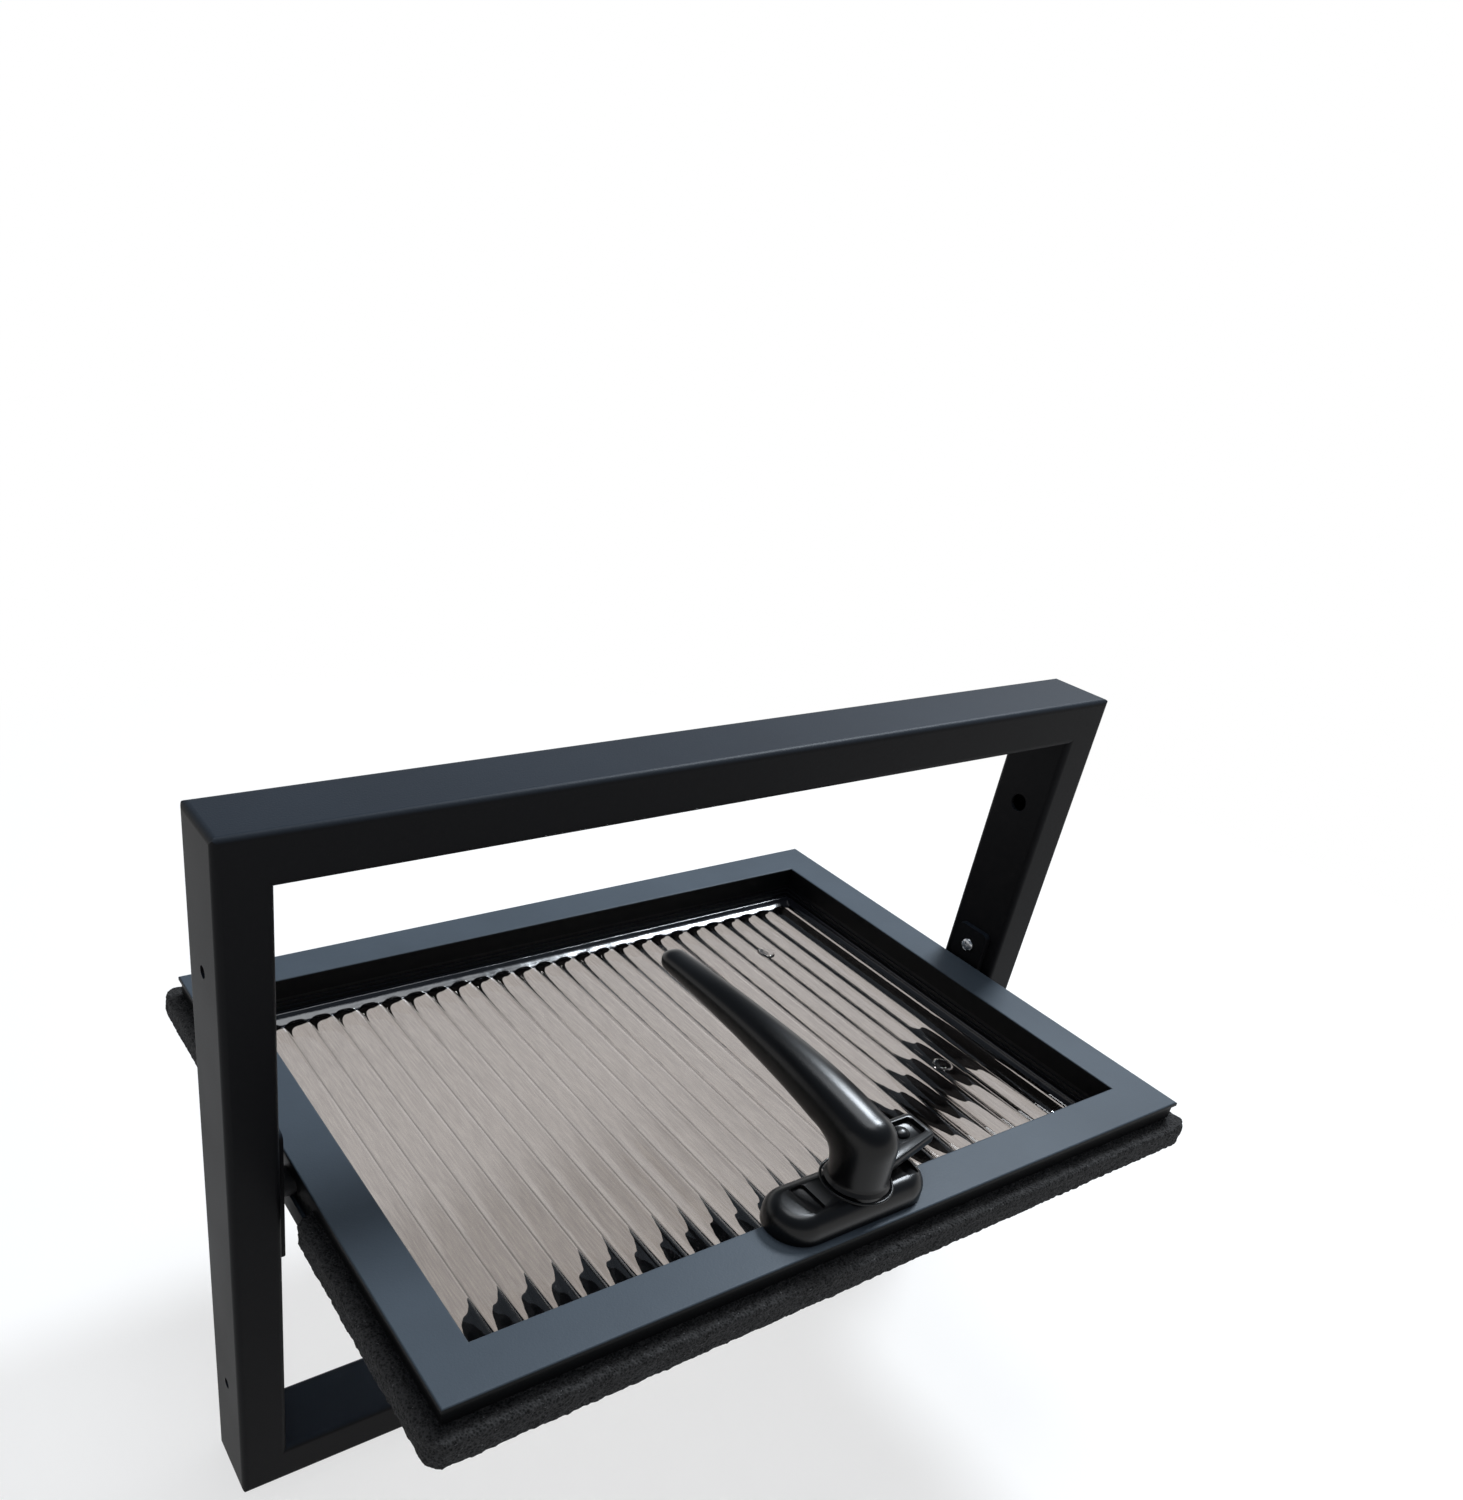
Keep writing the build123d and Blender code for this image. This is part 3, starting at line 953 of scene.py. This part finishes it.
    def _drop_mesh(self) -> Mesh:
        """Two flat clear drops with a small ring in each.

        Returns:
            The mesh.
        """
        crest = self._crest()
        shape = bmesh.new()
        for index, (x, y) in enumerate(self.drops):
            rings = []
            for share, level in self.drop_profile:
                ring = []
                for turn in range(self.drop_sides):
                    angle = math.tau * turn / self.drop_sides
                    aside, ahead = math.cos(angle), math.sin(angle)
                    uneven = noise.noise(Vector((aside, ahead, self.drop_gap * index)))
                    reach = self.drop_radius * share * (1 + self.drop_wobble * uneven)
                    ring.append(Vector((x + reach * aside, y + reach * self.drop_stretch * ahead,
                                        crest + level * MM)))
                rings.append(ring)
            add_rings(shape, rings)
        return close_mesh(shape, "clear_drops", sharp=80)


@dataclass
class WeatherStrip(Assembly):
    """The foam strip round the sash."""

    strips: tuple[tuple[str, tuple[str, ...]], ...] = (
        ("foam_upper_strip", ("foam_top", "foam_left_upper", "foam_right_upper")),
        ("foam_lower_strip", ("foam_bottom", "foam_left_lower", "foam_right_lower")),
    )
    cell: float = 0.8 * MM
    overlap: float = 0.2 * MM
    roughness: float = 0.9 * MM
    crumb_scale: float = 420.0
    crumb_octaves: tuple[float, float, int] = (1.0, 2.2, 3)
    patch_scale: float = 70.0
    mean_wear: float = 0.42
    crumb_wear: float = 0.45
    patch_wear: float = 0.3

    def build(self) -> None:
        """Make one strip above the pivots and one below, with a crumbly surface."""
        for name, runs in self.strips:
            mesh = self._strip_mesh(name, [self.nodes[run] for run in runs])
            piece = new_piece(name, mesh, self.finishes.foam)
            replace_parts(piece, *runs)

    def _strip_mesh(self, name: str, runs: list[Piece]) -> Mesh:
        """Runs of foam joined at their mitres, cut into small cells and worn back by noise.

        Args:
            name: The strip's name.
            runs: The runs' nodes.

        Returns:
            The mesh.
        """
        joined = bmesh.new()
        for run in runs:
            part = bmesh.new()
            part.from_mesh(run.data)
            bmesh.ops.remove_doubles(part, verts=part.verts, dist=WELD_DISTANCE)
            part.normal_update()
            outward = [(vertex, vertex.normal.copy()) for vertex in part.verts]
            for vertex, side in outward:
                vertex.co += side * self.overlap
            swollen = bpy.data.meshes.new(name)
            part.to_mesh(swollen)
            part.free()
            joined.from_mesh(swollen)
        block = loose_object(name, close_mesh(joined, name))
        cells = block.modifiers.new("cells", "REMESH")
        cells.mode, cells.voxel_size = "VOXEL", self.cell
        mesh = worked_mesh(block)
        sides = [vertex.normal.copy() for vertex in mesh.vertices]
        for vertex, side in zip(mesh.vertices, sides):
            crumbs = noise.fractal(vertex.co * self.crumb_scale, *self.crumb_octaves)
            patches = noise.noise(vertex.co * self.patch_scale)
            wear = self.mean_wear + self.crumb_wear * crumbs + self.patch_wear * patches
            vertex.co -= side * (self.overlap + self.roughness * min(1.0, max(0.0, wear)))
        smooth_mesh(mesh, 180)
        return mesh


@dataclass
class Pivots(Assembly):
    """The plates, pins, washers and screws that the sash turns on."""

    screw_offset: float = 21.0 * MM
    head_radius: float = 3.2 * MM
    head_height: float = 1.9 * MM
    slot_width: float = 0.8 * MM
    slot_length: float = 3.4 * MM
    slot_turn: float = 20.0
    slot_floor: float = 0.35
    slot_top: float = 1.5
    slot_edge: float = 0.1 * MM
    head_sides: int = 32
    head_profile: tuple[Spot, ...] = (
        (1.0, 0.0), (1.0, 0.25), (0.95, 0.55), (0.8, 0.8), (0.5, 0.96), (0.15, 1.0),
    )

    def dress(self) -> None:
        """Give the pivots their finishes and add the screws."""
        for side, sign in (("left", 1), ("right", -1)):
            self.wear((f"pivot_plate_{side}",), self.finishes.frame)
            self.wear((f"pivot_pin_{side}",), self.finishes.pin)
            self.wear((f"pivot_washer_{side}",), self.finishes.washer)
            low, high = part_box(f"pivot_plate_{side}")
            face = high.x if side == "left" else low.x
            for name, offset in (("upper", self.screw_offset), ("lower", -self.screw_offset)):
                seat = Vector((face, (low.y + high.y) / 2, (low.z + high.z) / 2 + offset))
                mesh = self._screw_mesh(f"pivot_screw_{side}_{name}", seat, sign)
                new_piece(f"pivot_screw_{side}_{name}", mesh, self.finishes.steel)

    def _screw_mesh(self, name: str, seat: Vector, sign: int) -> Mesh:
        """A pan head with a cross slot.

        Args:
            name: The screw's name.
            seat: The middle of the face that it sits on.
            sign: Which way along X the head points.

        Returns:
            The mesh.
        """
        place = Matrix.Translation(seat) @ Matrix.Rotation(math.radians(90 * sign), 4, "Y")
        head = stacked_rings(place, [
            (circle_points(share * self.head_radius, self.head_sides), level * self.head_height)
            for share, level in self.head_profile
        ])
        twist = place @ Matrix.Rotation(math.radians(self.slot_turn), 4, "Z")
        reach, half = self.slot_length / 2, self.slot_width / 2
        arm = [(half, -half), (reach, -half), (reach, half)]
        outline = [spot for quarter in range(4) for spot in self._turned(arm, quarter)]
        cross = stacked_rings(twist, [(outline, self.head_height * self.slot_floor),
                                      (outline, self.head_height * self.slot_top)])
        cutter = skinned_mesh(f"{name}_cross", cross)
        return carved_mesh(name, skinned_mesh(name, head), cutter, self.slot_edge)

    @staticmethod
    def _turned(spots: list[Spot], quarters: int) -> list[Spot]:
        """Turn points anticlockwise about the origin by quarter turns."""
        for _ in range(quarters):
            spots = [(-y, x) for x, y in spots]
        return spots


@dataclass
class Handle(Assembly):
    """The base, lever and latch tongue, worked out in the handle's own place.

    There the origin is on the sash's face under the neck, Y runs along the arm and Z points away
    from the face.
    """

    base_side: float = 3.6 * MM
    base_round: float = 6.0 * MM
    base_edge: float = 0.3 * MM
    dome_steps: int = 8
    end_steps: int = 20
    seat_height: float = 0.8 * MM
    seat_sides: int = 48
    seat_sunk: float = 1.0 * MM
    seat_lap: float = 0.2 * MM
    recess_spacing: float = 46.0 * MM
    recess_size: Spot = (6.4 * MM, 13.0 * MM)
    recess_depth: float = 1.5 * MM
    recess_corner: float = 1.2 * MM
    collar_radius: float = 13.0 * MM
    collar_edge: float = 0.55 * MM
    collar_sides: tuple[int, int] = (72, 10)
    foot_edge: float = 0.5 * MM
    neck_steps: int = 6
    shoulder_steps: tuple[int, int] = (24, 12)
    throat_steps: int = 30
    arm_steps: int = 70
    squareness: Spot = (2.0, 2.35)
    smallest_tip: float = 0.06
    neck_top_radius: float = 11.0 * MM
    throat_radius: float = 9.5 * MM
    crown_radius: float = 10.0 * MM
    shoulder_drop: float = 3.6 * MM
    tip_drop: float = 3.6 * MM
    crest_share: float = 0.38
    thickness: Spot = (18.5 * MM, 9.0 * MM)
    widths: tuple[Spot, ...] = ((0.0, 21.0 * MM), (0.25, 18.6 * MM), (0.55, 15.0 * MM), (1.0, 11.0 * MM))
    tip_round: float = 6.0 * MM
    around: int = 48
    tongue_edge: float = 1.0 * MM
    tongue_corner: float = 2.6 * MM
    tongue_front: float = 1.0 * MM
    tongue_lap: float = 3.0 * MM
    tongue_shoulder: float = 1.0 * MM
    tongue_heel: float = 5.0 * MM
    pocket_start: float = 7.0 * MM
    pocket_wall: float = 2.4 * MM
    pocket_front: Spot = (0.6 * MM, 2.6 * MM)
    pocket_depth: float = 2.2 * MM
    pocket_corner: float = 1.8 * MM
    pocket_edge: float = 0.25 * MM
    boss_offset: Spot = (1.5 * MM, 0.3 * MM)
    boss_height: float = 1.9 * MM
    boss_radius: float = 3.4 * MM
    boss_sides: int = 30
    boss_steps: int = 7
    boss_turn: float = 84.0

    def build(self) -> None:
        """Make the handle's pieces."""
        low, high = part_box("handle_lever")
        neck = (high.x - low.x) / 2
        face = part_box("handle_base")[0].z
        place = Matrix.Translation(((low.x + high.x) / 2, low.y + neck, face))
        for name, mesh, node in (
            ("handle_base_plate", self._base_mesh(place), "handle_base"),
            ("handle_lever_casting", self._lever_mesh(place), "handle_lever"),
            ("latch_tongue", self._tongue_mesh(place), "handle_tongue"),
        ):
            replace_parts(new_piece(name, mesh, self.finishes.handle), node)

    def _base_mesh(self, place: Matrix) -> Mesh:
        """The domed base with its two recesses, the seat under the neck and a thin raised collar.

        Args:
            place: The handle's place.

        Returns:
            The mesh.
        """
        low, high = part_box("handle_base")
        origin = place.translation
        radius, seat = (high.y - low.y) / 2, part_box("handle_lever")[0].z - origin.z
        left, right = low.x - origin.x + radius, high.x - origin.x - radius
        thickness = seat - self.seat_height
        levels = [(0.0, 0.0), (0.0, self.base_side * 0.5), (0.0, self.base_side)]
        for step in range(1, self.dome_steps + 1):
            turn = math.radians(90 * step / self.dome_steps)
            levels.append((self.base_round * (1 - math.cos(turn)),
                           remap(math.sin(turn), self.base_side, thickness)))
        body = skinned_mesh("base_body", stacked_rings(place, [
            (arc_points((right, 0.0), radius - inset, -90, 90, self.end_steps)
             + arc_points((left, 0.0), radius - inset, 90, 270, self.end_steps), level)
            for inset, level in levels
        ]))
        cutter = bmesh.new()
        half_x, half_y = (size / 2 for size in self.recess_size)
        outline = rounded_outline(rectangle(half_x, half_y), self.recess_corner, steps=4)
        for middle in (-self.recess_spacing / 2, self.recess_spacing / 2):
            shifted = [(middle + x, y) for x, y in outline]
            add_rings(cutter, stacked_rings(place, [(shifted, thickness - self.recess_depth),
                                                    (shifted, thickness + self.recess_depth)]))
        recesses = close_mesh(cutter, "base_cutter")
        shape = bmesh.new()
        shape.from_mesh(carved_mesh("handle_base_plate", body, recesses, self.base_edge))
        ring = circle_points(self.neck_top_radius, self.seat_sides)
        add_rings(shape, stacked_rings(place, [(ring, thickness - self.seat_sunk),
                                               (ring, seat + self.seat_lap)]))
        add_rings(shape, self._collar_rings(place, thickness), capped=False)
        bmesh.ops.remove_doubles(shape, verts=shape.verts, dist=WELD_DISTANCE)
        return close_mesh(shape, "handle_base_plate", sharp=CARVED_ANGLE)

    def _collar_rings(self, place: Matrix, middle: float) -> Rings:
        """The thin raised collar round the neck's seat.

        Args:
            place: The handle's place.
            middle: The height of its middle.

        Returns:
            The rings, the first one also at the end.
        """
        sides, section_sides = self.collar_sides
        section = circle_points(self.collar_edge, section_sides, (self.collar_radius, middle))
        rings = []
        for turn in range(sides):
            angle = math.tau * turn / sides
            rings.append([place @ Vector((reach * math.cos(angle), reach * math.sin(angle), level))
                          for reach, level in section])
        return [*rings, rings[0]]

    def _crown(self, y: float, reach: float, top: float) -> float:
        """The height of the arm's top line.

        Args:
            y: The distance along the arm.
            reach: The arm's whole reach.
            top: The highest point.

        Returns:
            The height.
        """
        share = y / reach
        if share < self.crest_share:
            return top - self.shoulder_drop * ((self.crest_share - share) / self.crest_share) ** 2
        return top - self.tip_drop * ((share - self.crest_share) / (1 - self.crest_share)) ** 2

    def _width(self, share: float) -> float:
        """The lever's width at a share of the arm's reach."""
        for (before, first), (after, second) in zip(self.widths, self.widths[1:]):
            if share <= after:
                part = (share - before) / (after - before)
                return remap(part, first, second)
        return self.widths[-1][1]

    def _lever_mesh(self, place: Matrix) -> Mesh:
        """The casting: sections that rise with the neck, fan round the throat and follow the arm.

        Args:
            place: The handle's place.

        Returns:
            The mesh.
        """
        low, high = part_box("handle_lever")
        foot, top = low.z - place.translation.z, high.z - place.translation.z
        foot_radius, reach = (high.x - low.x) / 2, high.y - place.translation.y
        neck = self.neck_top_radius
        throat_y = neck + self.throat_radius
        throat_z = self._crown(throat_y, reach, top) - self.thickness[0] - self.throat_radius
        neck_squareness, arm_squareness = self.squareness
        eased = foot_radius - self.foot_edge
        spans: list[Span] = [((eased, foot), (-eased, foot), eased, neck_squareness)]
        for step in range(self.neck_steps + 1):
            share = step / self.neck_steps
            z = remap(share, foot + self.foot_edge, max(throat_z, foot + 2 * self.foot_edge))
            radius = remap(share, foot_radius, neck)
            spans.append(((radius, z), (-radius, z), radius, neck_squareness))
        bend_steps, back_steps = self.shoulder_steps
        bend = (self.crown_radius - neck, self._crown(0.0, reach, top) - self.crown_radius)
        back = [throat_y * part / back_steps for part in range(1, back_steps + 1)]
        outer = [(-neck, throat_z), *arc_points(bend, self.crown_radius, 180, 90, bend_steps),
                 *((y, self._crown(y, reach, top)) for y in back)]
        outer = [spot for spot in outer if spot[0] <= throat_y]
        inner = arc_points((throat_y, throat_z), self.throat_radius, 180, 90, self.throat_steps)
        for step in range(1, self.throat_steps + 1):
            share = step / self.throat_steps
            half_width = remap(share, neck, self._width(throat_y / reach) / 2)
            squareness = remap(share, neck_squareness, arm_squareness)
            spans.append((inner[step], along_path(outer, share), half_width, squareness))
        for step in range(1, self.arm_steps + 1):
            y = remap(step / self.arm_steps, throat_y, reach)
            share = y / reach
            crown = self._crown(y, reach, top)
            thickness = remap((y - throat_y) / (reach - throat_y), *self.thickness)
            past = max(0.0, (y - (reach - self.tip_round)) / self.tip_round)
            shrink = math.sqrt(max(0.0, 1 - past ** 2)) if past < 1 else self.smallest_tip
            middle = crown - thickness / 2
            half = thickness / 2 * shrink
            half_width = self._width(share) / 2 * shrink
            spans.append(((y, middle - half), (y, middle + half), half_width, arm_squareness))
        rings = [self._section(span, place) for span in spans]
        return skinned_mesh("handle_lever_casting", rings, sharp=60)

    def _section(self, span: Span, place: Matrix) -> list[Vector]:
        """One ring of the lever.

        Args:
            span: The inner and outer ends in the handle's middle plane, the half width and the squareness.
            place: The handle's place.

        Returns:
            The ring's points.
        """
        inner, outer, half_width, squareness = span
        centre = Vector(((inner[0] + outer[0]) / 2, (inner[1] + outer[1]) / 2))
        half = (Vector(outer) - Vector(inner)) / 2
        ring = []
        for step in range(self.around):
            angle = math.tau * step / self.around
            rise, side = math.cos(angle), math.sin(angle)
            rise = math.copysign(abs(rise) ** (2 / squareness), rise)
            side = math.copysign(abs(side) ** (2 / squareness), side)
            spot = centre + half * rise
            ring.append(place @ Vector((half_width * side, spot.x, spot.y)))
        return ring

    def _tongue_mesh(self, place: Matrix) -> Mesh:
        """The latch tongue: a thick plate with a sunk pocket and a round boss in the pocket.

        Args:
            place: The handle's place.

        Returns:
            The mesh.
        """
        low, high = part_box("handle_tongue")
        origin = place.translation
        under, top = low.z - origin.z, high.z - origin.z
        end, back, front = high.x - origin.x, high.y - origin.y, self.tongue_front
        root, shoulder = self.neck_top_radius - self.tongue_lap, self.neck_top_radius + self.tongue_shoulder
        corners = [(root, -self.tongue_heel), (shoulder, -self.tongue_heel), (end, front), (end, back),
                   (root, back)]
        outline = rounded_outline(corners, self.tongue_corner, steps=5)
        body = skinned_mesh("tongue_body", plate_rings(outline, under, top, self.tongue_edge, place))
        start, stop = self.neck_top_radius + self.pocket_start, end - self.pocket_wall
        rim, floor = back - self.pocket_wall, top - self.pocket_depth
        sunk = rounded_outline([(start, front + self.pocket_front[0]), (stop, front + self.pocket_front[1]),
                                (stop, rim), (start, rim)], self.pocket_corner, steps=5)
        above = top + self.pocket_depth
        pocket = skinned_mesh("tongue_pocket", stacked_rings(place, [(sunk, floor), (sunk, above)]))
        whole = bmesh.new()
        whole.from_mesh(carved_mesh("latch_tongue", body, pocket, self.pocket_edge))
        centre = ((start + stop) / 2 + self.boss_offset[0], (front + back) / 2 + self.boss_offset[1])
        steps = range(self.boss_steps + 1)
        turns = [math.radians(self.boss_turn * step / self.boss_steps) for step in steps]
        add_rings(whole, stacked_rings(place, [
            (circle_points(self.boss_radius * math.cos(turn), self.boss_sides, centre),
             floor + self.boss_height * math.sin(turn)) for turn in turns
        ]))
        return close_mesh(whole, "latch_tongue", sharp=CARVED_ANGLE)


@dataclass(frozen=True)
class Lamp:
    """One soft area lamp, aimed at the window."""

    name: str
    place: Point
    size: float
    power: float
    colour: Colour


@dataclass
class Studio:
    """The pale floor, the pale surround, the lamps and the camera."""

    camera_place: Point = (-0.2945, -0.3267, 0.4655)
    camera_forward: Point = (0.48042, 0.69698, -0.53236)
    camera_up: Point = (0.20428, 0.50137, 0.84077)
    focal_px: float = 1242.7
    centre_px: Spot = (548.4, 970.2)
    sensor: float = 36.0
    floor_half: float = 8.0
    floor_colour: Colour = (0.90, 0.895, 0.89)
    fade_start: float = 0.40
    fade_end: float = 0.90
    near_white: float = 0.68
    floor_level: float = -0.2 * MM
    overhead_band: Spot = (0.22, 0.42)
    overhead_colour: Colour = (0.20, 0.23, 0.27)
    lamps: tuple[Lamp, ...] = (
        Lamp("overhead_panel", (0.30, 0.30, 1.85), 0.9, 12.0, (0.94, 0.97, 1.0)),
        Lamp("window_panel", (0.99, 0.355, 1.38), 0.38, 29.0, (0.86, 0.93, 1.0)),
    )
    aim: Point = (0.0, 0.0, 0.15)

    def build(self) -> None:
        """Make everything that isn't part of the window."""
        self._floor()
        self._world()
        for lamp in self.lamps:
            self._lamp(lamp)
        self._camera()

    def _floor(self) -> None:
        """A pale floor that keeps the window's shadow and turns white further off."""
        shape = bmesh.new()
        corners = rectangle(self.floor_half, self.floor_half)
        shape.faces.new([shape.verts.new((x, y, self.floor_level)) for x, y in corners])
        floor = loose_object("floor", close_mesh(shape, "floor"))
        floor.data.materials.append(self._floor_material())

    def _floor_material(self) -> Material:
        """The floor's pale paint near the window, and plain white where it is only background.

        Returns:
            The material.
        """
        material, tree, shader = start_material("pale_floor")
        tree.tune(shader, Base_Color=(*self.floor_colour, 1.0), Roughness=0.9, Specular_IOR_Level=0.0)
        distance = tree.add("ShaderNodeVectorMath", operation="LENGTH", Vector=tree.place())
        far = tree.ramp(distance.outputs["Value"], self.fade_start, self.fade_end, self.near_white, 1.0)
        white = tree.add("ShaderNodeEmission")
        mixed = tree.add("ShaderNodeMixShader")
        share = tree.math("MULTIPLY", far, seen_directly(tree))
        for socket, value in zip(mixed.inputs, (share, shader.outputs[0], white.outputs[0])):
            tree.link(value, socket)
        tree.link(mixed.outputs[0], material.node_tree.nodes["Material Output"].inputs["Surface"])
        return material

    def _world(self) -> None:
        """A surround that is white towards the horizon and dim overhead, as in a room with pale walls."""
        world = bpy.data.worlds.new("surround")
        world.use_nodes = True
        bpy.context.scene.world = world
        tree = Tree(world.node_tree)
        ray = tree.add("ShaderNodeTexCoord").outputs["Generated"]
        height = tree.add("ShaderNodeSeparateXYZ", Vector=ray).outputs["Z"]
        colour = tree.mix(tree.ramp(height, *self.overhead_band), (1.0, 1.0, 1.0), self.overhead_colour)
        tree.link(colour, world.node_tree.nodes["Background"].inputs["Color"])

    def _lamp(self, lamp: Lamp) -> None:
        """Add a lamp that points at the window's middle.

        Args:
            lamp: The lamp.
        """
        data = bpy.data.lights.new(lamp.name, "AREA")
        data.shape, data.size, data.energy, data.color = "DISK", lamp.size, lamp.power, lamp.colour
        light = bpy.data.objects.new(lamp.name, data)
        bpy.context.scene.collection.objects.link(light)
        light.location = lamp.place
        aim = Vector(self.aim) - Vector(lamp.place)
        light.rotation_euler = aim.to_track_quat("-Z", "Y").to_euler()

    def _camera(self) -> None:
        """The camera at the photograph's viewing angle."""
        data = bpy.data.cameras.new("camera")
        data.sensor_width = self.sensor
        data.lens = self.focal_px * self.sensor / PHOTO_HEIGHT
        data.shift_x = (PHOTO_WIDTH / 2 - self.centre_px[0]) / PHOTO_HEIGHT
        data.shift_y = (self.centre_px[1] - PHOTO_HEIGHT / 2) / PHOTO_HEIGHT
        data.clip_start = 0.01
        camera = bpy.data.objects.new("camera", data)
        bpy.context.scene.collection.objects.link(camera)
        forward = Vector(self.camera_forward).normalized()
        up = Vector(self.camera_up)
        right = forward.cross(up).normalized()
        up = right.cross(forward)
        turn = Matrix((right, up, -forward)).transposed().to_4x4()
        camera.matrix_world = Matrix.Translation(self.camera_place) @ turn
        bpy.context.scene.camera = camera


def seen_directly(tree: Tree) -> Socket:
    """A value that is 1 for rays from the camera, in reflections and through glass.

    Args:
        tree: The material's tree.

    Returns:
        The value.
    """
    path = tree.add("ShaderNodeLightPath")
    either = tree.math("MAXIMUM", path.outputs["Is Camera Ray"], path.outputs["Is Glossy Ray"])
    return tree.math("MAXIMUM", either, path.outputs["Is Transmission Ray"])


def main() -> None:
    """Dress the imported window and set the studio."""
    logging.basicConfig(level=logging.INFO, format="%(name)s: %(message)s")
    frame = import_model()
    bpy.context.scene.view_settings.view_transform = "Standard"
    given = (frame["nodes"], Finishes())
    OuterFrame(*given).dress()
    Sash(*given).dress()
    Glazing(*given).build()
    WeatherStrip(*given).build()
    Pivots(*given).dress()
    Handle(*given).build()
    Studio().build()


if __name__ == "__main__":
    main()
